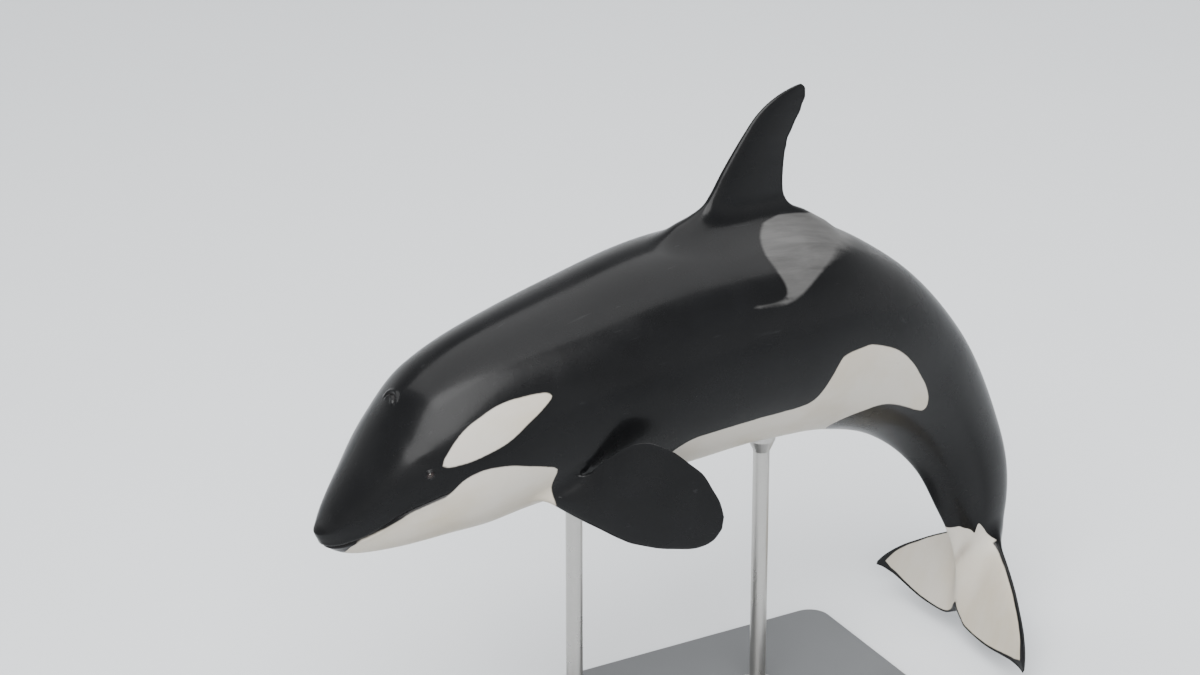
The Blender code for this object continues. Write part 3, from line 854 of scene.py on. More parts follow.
def shape_blowhole(points, outs, settings):
    """Presses the crescent of the blowhole in, and raises its rim and plug."""
    path, path_outs = blowhole_path()
    middle = path.mean(0)
    near = np.linalg.norm(points - middle, axis=1) < BLOWHOLE_REACH
    side, along, length = path_offsets(points[near], path, path_outs)
    end = smooth_step(*BLOWHOLE_FADE, np.minimum(along, length - along))
    away = np.linalg.norm(points[near] - middle, axis=1)
    mound, radius = BLOWHOLE_MOUND
    rim, beside, width = BLOWHOLE_RIM
    height = mound * bump(away, radius)
    height += rim * end * (bump(side - beside, width) + bump(side + beside, width))
    height -= settings.blowhole_depth * end * bump(side, BLOWHOLE_GROOVE)
    points[near] += outs[near] * height[:, None]


def lid_shape(across, up):
    """How far a place is from the middle of the lids, where 1 is the edge of their opening."""
    long, high = EYE_OPENING
    return np.sqrt((across / long) ** 2 + (up / high) ** 2)


def shape_eye(points, side, settings):
    """Drapes the lids over the eyeball, with a cup for it inside and folds round it."""
    middle, out, tailward, up = eye_axes(side)
    near = np.linalg.norm(points - middle, axis=1) < EYE_REACH
    away = points[near] - middle
    across, high, base = away @ tailward, away @ up, away @ out
    opening = lid_shape(across, high)
    for low, edge, top in LID_RINGS:
        ring = (opening > low) & (opening < top)
        scale = np.where(ring, edge / np.maximum(opening, 1e-6), 1)
        across, high = across * scale, high * scale
        opening = np.where(ring, edge, opening)
    reach = np.hypot(across, high)
    lid_radius = EYE_RADIUS + LID_THICKNESS
    ball = np.sqrt(np.maximum(EYE_RADIUS**2 - reach**2, 0)) - EYE_SUNK
    lid = np.sqrt(np.maximum(lid_radius**2 - reach**2, 0)) - EYE_SUNK
    lid = np.where(reach < lid_radius, lid, -EYE_SUNK)
    blend = np.maximum(LID_SOFTNESS - np.abs(lid - base), 0) / LID_SOFTNESS
    height = np.maximum(lid, base) + blend**2 * LID_SOFTNESS / 4
    rim, place, width = LID_RIM
    height += rim * bump(opening - place, width)
    above = smooth_step(*EYE_FOLD_TURN, high / np.maximum(reach, 1e-6))
    for share, place, width, over in EYE_FOLDS:
        part = above if over else 1 - above
        height -= settings.fold_depth * share * part * bump(opening - place, width)
    depth, below, width = LID_CORNER
    corner = bump(high + below, width) * plateau(opening, *LID_CORNER_SPAN)
    height -= depth * corner
    inner = smooth_step(LID_RINGS[0][1], LID_RINGS[1][1], opening)
    height = height * (1 - inner) + (ball - CUP_DEPTH) * inner
    turned = across[:, None] * tailward + high[:, None] * up + height[:, None] * out
    points[near] = middle + turned


def shape_flank(points, outs, shares, degrees):
    """A shallow hollow along each flank and behind the head, and a soft swelling of the brow."""
    side = np.abs(degrees)
    depth, place, width = FLANK_HOLLOW
    height = -depth * bump(side - place, width) * plateau(shares, *FLANK_HOLLOW_SPAN)
    for swell, along, length, down, width in SOFT_FORMS:
        height += swell * bump(shares - along, length) * bump(side - down, width)
    points += outs * height[:, None]


def shape_body(body, settings):
    """Gives the plain body its mouth, eyes, blowhole and soft forms."""
    shares, degrees = read_places(body)
    points, outs, _, _ = body_frames(shares, degrees)
    outs[shares < 1e-4] = (-1.0, 0.0, 0.0)
    shape_flank(points, outs, shares, degrees)
    shape_mouth(points, outs, settings)
    shape_blowhole(points, outs, settings)
    for side in SIDES.values():
        shape_eye(points, side, settings)
    write_coordinates(body, points)


def blade_profile(turn):
    """Share of the chord and of the half thickness round a fin's section, from its leading edge."""
    x = (1 - np.cos(turn * 2 * np.pi)) / 2
    a, b, c, d, e = AEROFOIL
    y = a * np.sqrt(x) - b * x - c * x**2 + d * x**3 - e * x**4
    return x, y / AEROFOIL_PEAK, np.sign(0.5 - turn) * (np.abs(turn - 0.5) > 1e-6) * (turn > 1e-6)


def blade(name, leads, trails, normal, thicks):
    """A fin through sections, each from a leading to a trailing point and as thick along the normal."""

    def place(row, turn):
        x, y, side = blade_profile(turn)
        half = np.maximum(y * thicks[row] / 2, BLADE_EDGE / 2 * np.minimum(1, x * BLADE_NOSE)) * side
        chord = leads[row] * (1 - x)[:, None] + trails[row] * x[:, None]
        return chord + normal * half[:, None]

    return wrapped_grid(name, len(leads), BLADE_POINTS, place)


def dorsal_fin():
    """The dorsal fin, with soft nicks in its trailing edge."""
    height, lead, trail, thick = smooth_table(FIN_PLAN, FIN_ROWS).T
    nicks = 0.5 + 0.5 * np.sin(height * NICK_RATE)
    uneven = 0.6 + 0.4 * np.sin(height * NICK_DEPTH_RATE + 1)
    trail = trail - NICK_DEPTH * plateau(height, *NICK_SPAN) * nicks * uneven
    seat = np.array([FIN_SEAT[0], 0, SNOUT_TIP[2] + FIN_SEAT[1]])
    zero = np.zeros_like(height)
    leads = seat + np.stack([lead, zero, height], -1)
    trails = seat + np.stack([trail, zero, height], -1)
    return blade("fin_form", leads, trails, np.array([0.0, 1.0, 0.0]), thick)


def flipper(side):
    """The flipper of one side, spread out from its seat."""
    out, low, high, thick = smooth_table(FLIPPER_PLAN, FLIPPER_ROWS).T[..., None]
    flat = math.cos(FLIPPER_DROOP)
    tailward, sideward = flat * math.cos(FLIPPER_SPREAD), flat * math.sin(FLIPPER_SPREAD)
    span = np.array([tailward, -side * sideward, -math.sin(FLIPPER_DROOP)])
    up = unit(np.array([0, 0, 1]) - span * span[2])
    root = np.array([FLIPPER_SEAT[0], -side * FLIPPER_SEAT[1], FLIPPER_SEAT[2]]) + span * out
    return blade("flipper_form", root + up * low, root + up * high, np.cross(span, up), thick[:, 0])


def fluke_axes():
    """The notch of the flukes, and the directions tailwards along them and to the belly's side."""
    x, z, _ = midline(1.0)
    along = np.array([math.cos(FLUKE_SLOPE), 0, math.sin(FLUKE_SLOPE)])
    belly = np.array([math.sin(FLUKE_SLOPE), 0, -math.cos(FLUKE_SLOPE)])
    return np.array([float(x), 0, float(z)]), along, belly


def fluke_droop(out):
    """How far the flukes bend to the belly's side, at distances out from the middle."""
    return FLUKE_DROOP * (out / FLUKE_PLAN[-1][0]) ** 2


def flukes():
    """Both flukes in one form, from tip to tip."""
    notch, along, belly = fluke_axes()
    half = smooth_table(FLUKE_PLAN, FLUKE_ROWS)
    plan = np.concatenate([half[:0:-1] * (-1, 1, 1, 1), half])
    out, lead, trail, thick = plan.T[..., None]
    middle = notch + out * np.array([0, -1, 0]) + belly * fluke_droop(out)
    return blade("fluke_form", middle + along * lead, middle + along * trail, belly, thick[:, 0])


def surface_tree(obj):
    """A closed form for finding distances: its search tree, corners and the directions at them."""
    work = bmesh.new()
    work.from_mesh(obj.data)
    bmesh.ops.triangulate(work, faces=work.faces)
    work.normal_update()
    work.faces.index_update()
    tree = BVHTree.FromBMesh(work)
    corners = [[vertex.co.copy() for vertex in face.verts] for face in work.faces]
    normals = [[vertex.normal.copy() for vertex in face.verts] for face in work.faces]
    work.free()
    return tree, corners, normals


def surface_gaps(form, points, reach):
    """Signed distance of points from a closed surface, and the direction away from it."""
    tree, corners, normals = form
    gaps = np.full(len(points), reach * FAR_REACHES)
    ways = np.zeros((len(points), 3))
    for i, point in enumerate(points):
        spot, normal, face, gap = tree.find_nearest(point, reach * SEARCH_REACHES)
        if spot is None:
            continue
        away = Vector(point) - spot
        if abs(away.dot(normal)) < gap * SQUARE_ON:
            shares = poly_3d_calc(corners[face], spot)
            normal = sum((way * share for way, share in zip(normals[face], shares)), Vector())
        sign = 1.0 if away.dot(normal) >= 0 else -1.0
        gaps[i] = sign * gap
        ways[i] = away * (sign / gap) if gap > TOUCHING else normal.normalized()
    return gaps, ways


def settle(points, trees, reach, rounds=1):
    """Moves points onto the surface that blends two closed forms over the given reach."""
    for _ in range(rounds):
        gap_a, way_a = surface_gaps(trees[0], points, reach)
        gap_b, way_b = surface_gaps(trees[1], points, reach)
        mix = np.maximum(reach - np.abs(gap_a - gap_b), 0) / reach
        share_a = np.where(gap_a < gap_b, 1 - mix / 2, mix / 2)
        gap = np.minimum(gap_a, gap_b) - mix**2 * reach / 4
        way = way_a * share_a[:, None] + way_b * (1 - share_a)[:, None]
        square = np.maximum((way**2).sum(-1), LEAST_SQUARE)
        points = points - way * (gap / square)[:, None]
    return points


def unite(skin, form):
    """Joins a fin to the skin with a Boolean."""
    deselect()
    bpy.context.view_layer.objects.active = skin
    skin.select_set(True)
    union = skin.modifiers.new("union", "BOOLEAN")
    union.operation = "UNION"
    union.solver = "MANIFOLD"
    union.object = form
    before = len(skin.data.vertices)
    bpy.ops.object.modifier_apply(modifier=union.name)
    if len(skin.data.vertices) == before:
        raise RuntimeError(f"{form.name} wasn't joined to the skin")
    bpy.data.objects.remove(form)


def blend_corner(skin, trees, reach):
    """Draws the corner where two forms join into a smooth blend, with even faces."""
    points = coordinates(skin)
    corner = np.arange(len(points))
    for tree in (trees[1], trees[0]):
        gaps, _ = surface_gaps(tree, points[corner], CORNER_REACH)
        corner = corner[np.abs(gaps) < CORNER_GAP]
    corner = points[corner]
    zone, _ = blend_zone(points, trees, reach, corner)
    for _ in range(BLEND_PASSES):
        even_faces(skin, zone)
        points = coordinates(skin)
        zone, depth = blend_zone(points, trees, reach, corner)
        points[zone] = settle(points[zone], trees, reach)
        write_coordinates(skin, points)
        moving = (depth < SHARP_DEPTH) | ~sharp_points(skin, zone, SHARP_EDGE)
        relax(skin, points, zone[moving], trees, reach)
        write_coordinates(skin, points)
    points[zone] = settle(points[zone], trees, reach, SETTLE_ROUNDS)
    write_coordinates(skin, points)
    folded = sharp_points(skin, zone, FOLDED_EDGE) & (depth < FOLD_DEPTH)
    flatten(skin, points, zone[folded], zone[depth < FLAT_DEPTH])


def blend_zone(points, trees, reach, corner):
    """Which points lie within the blend of two forms, and how near its end they are."""
    zone = np.flatnonzero(path_gaps(points, corner) < reach * ZONE_REACHES)
    depth = np.zeros(len(zone))
    for tree in trees:
        gaps, _ = surface_gaps(tree, points[zone], reach)
        near = gaps < reach
        zone = zone[near]
        depth = np.maximum(depth[near], gaps[near] / reach)
    return zone, depth


def sharp_points(skin, zone, limit):
    """Which points of a zone lie on an edge that is sharper than this angle."""
    work = bmesh.new()
    work.from_mesh(skin.data)
    work.verts.ensure_lookup_table()
    rings = [work.verts[i].link_edges for i in zone]
    sharp = [any(edge.is_manifold and edge.calc_face_angle() > limit for edge in ring) for ring in rings]
    work.free()
    return np.array(sharp)


def touching(vertices, kind):
    """The edges or faces at these vertices, in a steady order, without vertices that were merged."""
    valid = (vertex for vertex in vertices if vertex.is_valid)
    return list(dict.fromkeys(item for vertex in valid for item in getattr(vertex, kind)))


def even_faces(skin, zone):
    """Splits long edges at these points, merges short ones and turns the rest for even triangles."""
    work = bmesh.new()
    work.from_mesh(skin.data)
    work.verts.ensure_lookup_table()
    chosen = [work.verts[i] for i in zone]
    bmesh.ops.triangulate(work, faces=touching(chosen, "link_faces"))
    limit = BLEND_EDGE * SPLIT_ABOVE
    long_edges = [edge for edge in touching(chosen, "link_edges") if edge.calc_length() > limit]
    made = bmesh.ops.subdivide_edges(work, edges=long_edges, cuts=1)
    chosen += [item for item in made["geom_inner"] if isinstance(item, bmesh.types.BMVert)]
    bmesh.ops.triangulate(work, faces=touching(chosen, "link_faces"))
    turn_edges(chosen)
    collapse_short(work, chosen, BLEND_EDGE * MERGE_BELOW)
    turn_edges(chosen)
    work.to_mesh(skin.data)
    work.free()


def turn_edges(vertices):
    """Turns the edges whose two triangles would be more even the other way round."""
    for _ in range(TURN_ROUNDS):
        turned = 0
        for edge in touching(vertices, "link_edges"):
            if not edge.is_valid or len(edge.link_faces) != 2 or edge.calc_face_angle() > SHARP_EDGE:
                continue
            loops = edge.link_loops
            if any(len(loop.face.verts) != 3 for loop in loops):
                continue
            a, b = edge.verts
            c, d = (loop.link_loop_prev.vert for loop in loops)
            across = [(a.co - top.co).angle(b.co - top.co, 0.0) for top in (c, d)]
            if sum(across) < math.pi + TURN_GAIN or any(c in other.verts for other in d.link_edges):
                continue
            if (b.co - c.co).cross(d.co - c.co).dot((d.co - c.co).cross(a.co - c.co)) <= 0:
                continue
            turned += bmesh.utils.edge_rotate(edge, True) is not None
        if not turned:
            return


def collapse_short(work, vertices, limit):
    """Merges the ends of short edges that are well apart from each other."""
    for _ in range(COLLAPSE_ROUNDS):
        edges = [edge for edge in touching(vertices, "link_edges") if edge.calc_length() < limit]
        edges.sort(key=lambda edge: edge.calc_length())
        inside = {vertex for vertex in vertices if vertex.is_valid}
        used = set()
        apart = []
        for edge in edges:
            rings = [{other.other_vert(end) for other in end.link_edges} for end in edge.verts]
            both = rings[0] & rings[1]
            if len(both) != 2 or used & (rings[0] | rings[1]) or not inside.issuperset(edge.verts):
                continue
            if all(len(vertex.link_edges) > 4 for vertex in both):
                used |= rings[0] | rings[1]
                apart.append(edge)
        if not apart:
            return
        bmesh.ops.collapse(work, edges=apart, uvs=False)


def drawn_together(points, edges, moving):
    """Where each moving point would lie in the middle of the points it is joined to."""
    total = np.zeros_like(points)
    count = np.zeros(len(points))
    for a, b in ((0, 1), (1, 0)):
        np.add.at(total, edges[:, a], points[edges[:, b]])
        np.add.at(count, edges[:, a], 1)
    return total[moving] / count[moving][:, None]


def edge_ends(skin):
    ends = np.empty(len(skin.data.edges) * 2, int)
    skin.data.edges.foreach_get("vertices", ends)
    return ends.reshape(-1, 2)


def edges_near(skin, count, moving):
    """The ends of the edges that touch moving points, of all the skin's points."""
    free = np.zeros(count, bool)
    free[moving] = True
    edges = edge_ends(skin)
    return edges[free[edges].any(1)]


def flatten(skin, points, folded, zone):
    """Draws the skin smooth over folded points and the rings of points round them."""
    for _ in range(FLATTEN_RINGS):
        folded = edges_near(skin, len(points), folded).ravel()
    moving = np.intersect1d(folded, zone)
    edges = edges_near(skin, len(points), moving)
    for _ in range(FLATTEN_ROUNDS if len(moving) else 0):
        points[moving] = drawn_together(points, edges, moving)
    write_coordinates(skin, points)


def relax(skin, points, moving, trees, reach):
    """Evens out points on the smooth surface of their blend."""
    edges = edges_near(skin, len(points), moving)
    for _ in range(RELAX_ROUNDS):
        points[moving] += (drawn_together(points, edges, moving) - points[moving]) * RELAX_SHARE
        points[moving] = settle(points[moving], trees, reach)


def fluke_white(points, shares, degrees):
    """How far points are inside the white of the flukes' underside."""
    notch, along, belly = fluke_axes()
    away = points - notch
    out = np.abs(away[:, 1])
    back = away @ along
    drop = away @ belly - fluke_droop(out)
    plan = smooth_table(FLUKE_PLAN, FLUKE_OUTLINE_ROWS)
    lead, trail = plan[:, [0, 1]], plan[:, [0, 2]]
    outline = np.concatenate([lead, trail[::-1], trail[1:] * (-1, 1), lead[:0:-1] * (-1, 1)])
    result = np.full(len(points), -FLUKE_MARKING_REACH)
    near = np.flatnonzero((np.linalg.norm(away, axis=1) < FLUKE_NEAR) & (shares > FLUKE_SHARE))
    inside = signed_distance(np.stack([out[near], back[near]], -1), outline)
    inside -= np.interp(out[near], *zip(*FLUKE_RIM))
    before, half = STOCK_WHITE
    stock = np.where(back[near] < before, half - out[near], -FLUKE_MARKING_REACH)
    starts = np.interp(np.abs(degrees[near]), *zip(*FLUKE_WHITE_START))
    start = (shares[near] - starts) * BODY_LENGTH
    inside = np.minimum(np.maximum(inside, stock), start)
    result[near] = np.minimum(inside, drop[near] * FLUKE_TURN)
    return np.clip(result, -FLUKE_MARKING_REACH, FLUKE_MARKING_REACH)


def saddle_value(points, shares, degrees):
    """How far points are inside the saddle, with the haze behind it, in widths of its soft edge."""
    least, more = SADDLE_SOFTNESS
    softness = least + more * smooth_step(*SADDLE_SOFTENS, shares)
    saddle = np.clip(marking(shares, degrees, SADDLE) / softness, -SADDLE_LIMIT, SADDLE_LIMIT)
    haze = plateau(shares, *HAZE_SPAN)
    haze *= 1 - smooth_step(*HAZE_FADE, np.abs((degrees + 180) % 360 - 180))
    saddle = np.maximum(saddle, HAZE_STRENGTH * haze - HAZE_STRENGTH)
    proud = smooth_step(*SADDLE_FIN, np.linalg.norm(points - body_points(shares, degrees), axis=1))
    return saddle * (1 - proud) - SADDLE_LIMIT * proud


def fold_shade(points):
    """How deep points of the head lie in the mouth line or the blowhole's groove, where shade is painted.
    """
    folds = np.zeros(len(points))
    past, soft = FOLD_STOP
    for path, outs in (mouth_path(), blowhole_path()):
        side, along, length = path_offsets(points, path, outs)
        ends = smooth_step(*FOLD_FADE, np.minimum(along, length - along))
        far = np.maximum(path_gaps(points, path) - past, 0)
        folds = np.maximum(folds, bump(side, FOLD_WIDTH) * ends * bump(far, soft))
    return folds


def lid_value(points):
    """How near points are to the edge of an eye's lids."""
    lids = np.zeros(len(points))
    reach, place, width = LID_DARK
    for side in SIDES.values():
        middle, _, tailward, up = eye_axes(side)
        away = points - middle
        close = np.linalg.norm(away, axis=1) < reach
        lids[close] = bump(lid_shape(away[close] @ tailward, away[close] @ up) - place, width)
    return lids


def write_markings(skin):
    """Keeps on every point how far it is inside each marking, where streaks and folds run, and where shade
    is painted in the folds and beside the ridge of the stock.
    """
    points = coordinates(skin)
    shares, degrees, radius = body_places(points)
    turn = np.radians(degrees)
    flow = np.stack([shares * BODY_LENGTH, radius * np.cos(turn), radius * np.sin(turn)], -1)
    write_vectors(skin, "flow", flow)
    write_values(skin, "underside", marking(shares, degrees, WHITE_UNDERSIDE))
    write_values(skin, "eye_patch", marking(shares, degrees, EYE_PATCH))
    write_values(skin, "saddle", saddle_value(points, shares, degrees))
    write_values(skin, "fluke_white", fluke_white(points, shares, degrees))
    # Painted shade beside the ridge of the stock, on both sides
    away = unrolled(shares, np.abs(degrees)) - unrolled(*np.array(RIDGE_SHADE_PLACE))
    write_values(skin, "stain", np.exp(-((away / RIDGE_SHADE_SIZE) ** 2).sum(-1)))
    head = shares < DETAIL_SHARE
    # The folds hold where shade is painted in the mouth line and the blowhole's groove
    for name, value in (("folds", fold_shade), ("lids", lid_value)):
        values = np.zeros(len(points))
        values[head] = value(points[head])
        write_values(skin, name, values)


# Materials


def new_material(name):
    material = bpy.data.materials.new(name)
    material.use_nodes = True
    tree = material.node_tree
    return material, tree, tree.nodes["Principled BSDF"]


def fill(tree, socket, value):
    """Links a socket into another, or gives it a number or colour."""
    if isinstance(value, bpy.types.NodeSocket):
        tree.links.new(value, socket)
    elif isinstance(value, (float, int)) or len(value) == len(socket.default_value):
        socket.default_value = value
    else:
        socket.default_value = (*value, 1.0)


def add_node(tree, kind, inputs, **options):
    """Adds a node with these options, and with sockets, numbers or colours as inputs."""
    node = tree.nodes.new(kind)
    for key, value in options.items():
        setattr(node, key, value)
    for name, value in inputs.items():
        fill(tree, node.inputs[name], value)
    return node


def attribute(tree, name, output="Fac"):
    return add_node(tree, "ShaderNodeAttribute", {}, attribute_name=name).outputs[output]


def math_node(tree, operation, *values):
    """A Math node; its inputs are sockets or numbers."""
    return add_node(tree, "ShaderNodeMath", dict(enumerate(values)), operation=operation).outputs[0]


def product(tree, a, b):
    return math_node(tree, "MULTIPLY", a, b)


def swing(tree, value, amount):
    """A value between nought and 1 made to swing round nought by half the amount."""
    return product(tree, math_node(tree, "SUBTRACT", value, 0.5), amount)


def range_node(tree, value, low, high, to_low=0.0, to_high=1.0, kind="LINEAR"):
    """A Map Range node from one span to another."""
    inputs = {"Value": value, "From Min": low, "From Max": high, "To Min": to_low, "To Max": to_high}
    return add_node(tree, "ShaderNodeMapRange", inputs, interpolation_type=kind).outputs["Result"]


def soft_range(tree, value, low, high):
    return range_node(tree, value, low, high, kind="SMOOTHSTEP")


def mix_colour(tree, share, a, b):
    """A Mix node for colours; its inputs are sockets, numbers or colours."""
    node = add_node(tree, "ShaderNodeMix", {}, data_type="RGBA")
    for i, value in ((0, share), (6, a), (7, b)):
        fill(tree, node.inputs[i], value)
    return node.outputs[2]


def tinted(tree, base, mask, strength, colour):
    """A colour with another laid over it where a mask says."""
    return mix_colour(tree, product(tree, mask, strength), base, colour)


def scaled(colour, factor):
    return tuple(value * factor for value in colour)


def noise(tree, vector, scale, detail=4.0, roughness=0.5, stretch=(1, 1, 1), distortion=0.0):
    """A noise texture, on coordinates that are scaled apart in each direction."""
    mapping = add_node(tree, "ShaderNodeMapping", {"Vector": vector, "Scale": stretch})
    inputs = {"Scale": scale, "Detail": detail, "Roughness": roughness, "Distortion": distortion}
    inputs["Vector"] = mapping.outputs[0]
    return add_node(tree, "ShaderNodeTexNoise", inputs).outputs["Fac"]


def object_place(tree):
    return tree.nodes.new("ShaderNodeTexCoord").outputs["Object"]


def add_bump(tree, shader, height, strength, distance):
    """Roughens a material's surface by a height."""
    inputs = {"Height": height, "Strength": strength, "Distance": distance}
    fill(tree, shader.inputs["Normal"], add_node(tree, "ShaderNodeBump", inputs).outputs["Normal"])


def smudge_group():
    """Uneven gloss and fine grain, for hide, paint and metal alike."""
    name = "smudged_surface"
    if name in bpy.data.node_groups:
        return bpy.data.node_groups[name]
    group = bpy.data.node_groups.new(name, "ShaderNodeTree")
    group.interface.new_socket(name="Place", in_out="INPUT", socket_type="NodeSocketVector")
    for label, default in (("Roughness", 0.3), ("Spread", 0.1), ("Size", 6.0)):
        socket = group.interface.new_socket(name=label, in_out="INPUT", socket_type="NodeSocketFloat")
        socket.default_value = default
    for label in ("Roughness", "Grain", "Smudge"):
        group.interface.new_socket(name=label, in_out="OUTPUT", socket_type="NodeSocketFloat")
    given = group.nodes.new("NodeGroupInput").outputs
    inputs = {"Vector": given["Place"], "Scale": given["Size"], "Detail": 5.0}
    cloud = add_node(group, "ShaderNodeTexNoise", inputs).outputs["Fac"]
    inputs = {"Vector": given["Place"], "Scale": 240.0, "Detail": 3.0}
    grain = add_node(group, "ShaderNodeTexNoise", inputs).outputs["Fac"]
    spread = swing(group, cloud, given["Spread"])
    rough = math_node(group, "MULTIPLY_ADD", spread, 2.0, given["Roughness"])
    add_node(group, "NodeGroupOutput", {"Roughness": rough, "Grain": grain, "Smudge": cloud})
    return group


def smudged(tree, place, roughness, spread, size):
    node = tree.nodes.new("ShaderNodeGroup")
    node.node_tree = smudge_group()
    values = {"Place": place, "Roughness": roughness, "Spread": spread, "Size": size}
    for name, value in values.items():
        fill(tree, node.inputs[name], value)
    return node.outputs


def finish(tree, shader, values):
    """Sets the shader's inputs to sockets, numbers or colours."""
    for name, value in values.items():
        fill(tree, shader.inputs[name], value)


def hide_material(settings):
    """Wet hide: black, with white patches, a streaked grey saddle, scratches, and painted shade in the
    folds and beside the ridge of the stock.
    """
    material, tree, shader = new_material("orca_hide")
    place = object_place(tree)
    flow = attribute(tree, "flow", "Vector")
    fine = swing(tree, noise(tree, place, 55, 3, 0.6), 0.0015)
    wide = swing(tree, noise(tree, place, 9, 4, 0.55), 0.008)
    wobble = math_node(tree, "ADD", fine, wide)
    streak = noise(tree, flow, 16, 6, 0.62, (0.22, 1.0, 1.0), 0.35)
    scratch = noise(tree, flow, 42, 2, 0.45, (0.10, 1.0, 1.0), 0.9)
    scratches = range_node(tree, scratch, 0.70, 0.80)
    cloud = noise(tree, flow, 2.6, 5, 0.6, (0.6, 1.0, 1.0))

    whites = []
    for name in ("underside", "eye_patch", "fluke_white"):
        value = math_node(tree, "ADD", attribute(tree, name), wobble)
        whites.append(soft_range(tree, value, -MARKING_EDGE, MARKING_EDGE))
    white = math_node(tree, "MAXIMUM", math_node(tree, "MAXIMUM", *whites[:2]), whites[2])
    ragged = math_node(tree, "ADD", attribute(tree, "saddle"), swing(tree, streak, SADDLE_RAGGED))
    saddle = soft_range(tree, ragged, *SADDLE_EDGE)

    deep = tuple(settings.black)
    black = mix_colour(tree, range_node(tree, cloud, 0.35, 0.75), deep, scaled(deep, 1.7))
    black = tinted(tree, black, scratches, 0.12, BLACK_SCRATCH)
    smoke = tuple(settings.grey)
    grey = mix_colour(tree, range_node(tree, streak, 0.30, 0.62), scaled(smoke, 0.60), smoke)
    grey = tinted(tree, grey, scratches, 0.55, GREY_SCRATCH)
    cream = tuple(settings.white)
    stained = tuple(value * share for value, share in zip(cream, WHITE_STAINED))
    pale = mix_colour(tree, range_node(tree, cloud, 0.40, 0.80), cream, stained)
    veins = range_node(tree, noise(tree, flow, 7, 6, 0.65, (0.5, 1, 1), 1.2), 0.62, 0.80)
    pale = tinted(tree, pale, veins, 0.30, VEIN)
    pale = tinted(tree, pale, scratches, 0.22, WHITE_SCRATCH)
    # Painted shade, brownish, on the white beside the ridge of the stock
    stain = product(tree, attribute(tree, "stain"), range_node(tree, cloud, 0.2, 0.6))
    pale = tinted(tree, pale, stain, 0.7, RIDGE_SHADE_COLOUR)

    colour = mix_colour(tree, saddle, black, grey)
    colour = mix_colour(tree, white, colour, pale)
    colour = tinted(tree, colour, attribute(tree, "lids"), 0.75, LID_SKIN)
    # Painted shade in the mouth line and the blowhole's groove
    colour = tinted(tree, colour, attribute(tree, "folds"), 0.85, FOLD_SHADOW)

    gloss = smudged(tree, place, 0.26, 0.10, 5.0)
    rough = math_node(tree, "ADD", gloss["Roughness"], product(tree, white, 0.10))
    rough = math_node(tree, "ADD", rough, product(tree, saddle, 0.06))
    finish(tree, shader, {"Base Color": colour, "Roughness": rough, "Specular IOR Level": 0.12})
    finish(tree, shader, {"Coat Weight": 0.08, "Coat Roughness": 0.12})
    dents = product(tree, noise(tree, place, 14, 3, 0.5), 0.9)
    height = math_node(tree, "ADD", product(tree, gloss["Grain"], 0.10), dents)
    height = math_node(tree, "SUBTRACT", height, product(tree, scratches, 0.12))
    add_bump(tree, shader, height, 0.35, 0.0022)
    return material


def eye_material(settings):
    """A wet dark eye: black pupil, brown iris with fine rays, a dark rim and a dim white."""
    material, tree, shader = new_material("orca_eye")
    away = attribute(tree, "away")
    rays = noise(tree, attribute(tree, "rays", "Vector"), 3.0, 4, 0.6)
    iris = mix_colour(tree, range_node(tree, rays, 0.35, 0.70), tuple(settings.iris), IRIS_LIGHT)
    iris = mix_colour(tree, soft_range(tree, away, *IRIS_EDGE_SPAN), iris, IRIS_EDGE)
    mottle = noise(tree, object_place(tree), 160, 4, 0.6)
    white = mix_colour(tree, mottle, EYE_WHITE_DARK, EYE_WHITE_LIGHT)
    colour = mix_colour(tree, soft_range(tree, away, *EYE_WHITE_SPAN), iris, white)
    pupil = soft_range(tree, attribute(tree, "pupil"), *PUPIL_EDGE)
    colour = mix_colour(tree, pupil, PUPIL, colour)
    rough = range_node(tree, rays, 0.2, 0.8, 0.10, 0.22)
    finish(tree, shader, {"Base Color": colour, "Roughness": rough})
    finish(tree, shader, {"Specular IOR Level": 0.1, "Coat Weight": 0.8, "Coat Roughness": 0.02})
    return material


def paint_material(settings):
    """Powder coat of the base: fine orange peel, soft smudges and pale specks."""
    material, tree, shader = new_material("base_paint")
    place = object_place(tree)
    gloss = smudged(tree, place, 0.42, 0.10, 3.0)
    paint = tuple(settings.paint)
    colour = mix_colour(tree, gloss["Smudge"], scaled(paint, 0.8), paint)
    specks = range_node(tree, noise(tree, place, 420, 1, 0.5), 0.70, 0.78)
    colour = tinted(tree, colour, specks, 0.35, PAINT_SPECK)
    finish(tree, shader, {"Base Color": colour, "Roughness": gloss["Roughness"]})
    add_bump(tree, shader, gloss["Grain"], 0.25, 0.0006)
    return material


def metal_material(settings):
    """Brushed steel of the rods, brushed round them."""
    material, tree, shader = new_material("rod_metal")
    place = object_place(tree)
    brushed = noise(tree, place, 60, 4, 0.6, (1.0, 1.0, 14.0))
    gloss = smudged(tree, place, 0.30, 0.10, 8.0)
    metal = tuple(settings.metal)
    colour = mix_colour(tree, brushed, scaled(metal, 0.72), metal)
    finish(tree, shader, {"Base Color": colour, "Roughness": gloss["Roughness"], "Metallic": 1.0})
    add_bump(tree, shader, brushed, 0.20, 0.0003)
    return material


def floor_material(settings):
    """A pale matt floor with a faint cloud in it."""
    material, tree, shader = new_material("studio_floor")
    cloud = noise(tree, object_place(tree), 0.8, 3, 0.5)
    pale = tuple(settings.floor)
    colour = mix_colour(tree, cloud, scaled(pale, 0.97), pale)
    finish(tree, shader, {"Base Color": colour, "Roughness": 0.8})
    return material


def set_material(obj, material):
    obj.data.materials.clear()
    obj.data.materials.append(material)


# Stage


def add_to_scene(name, data):
    obj = bpy.data.objects.new(name, data)
    bpy.context.scene.collection.objects.link(obj)
    return obj


def add_softbox(power):
    """A wide area light overhead that faces straight down."""
    light = bpy.data.lights.new("overhead_softbox", "AREA")
    light.shape = "RECTANGLE"
    light.energy = power
    light.size, light.size_y = SOFTBOX_SIZE
    add_to_scene(light.name, light).location = SOFTBOX_PLACE


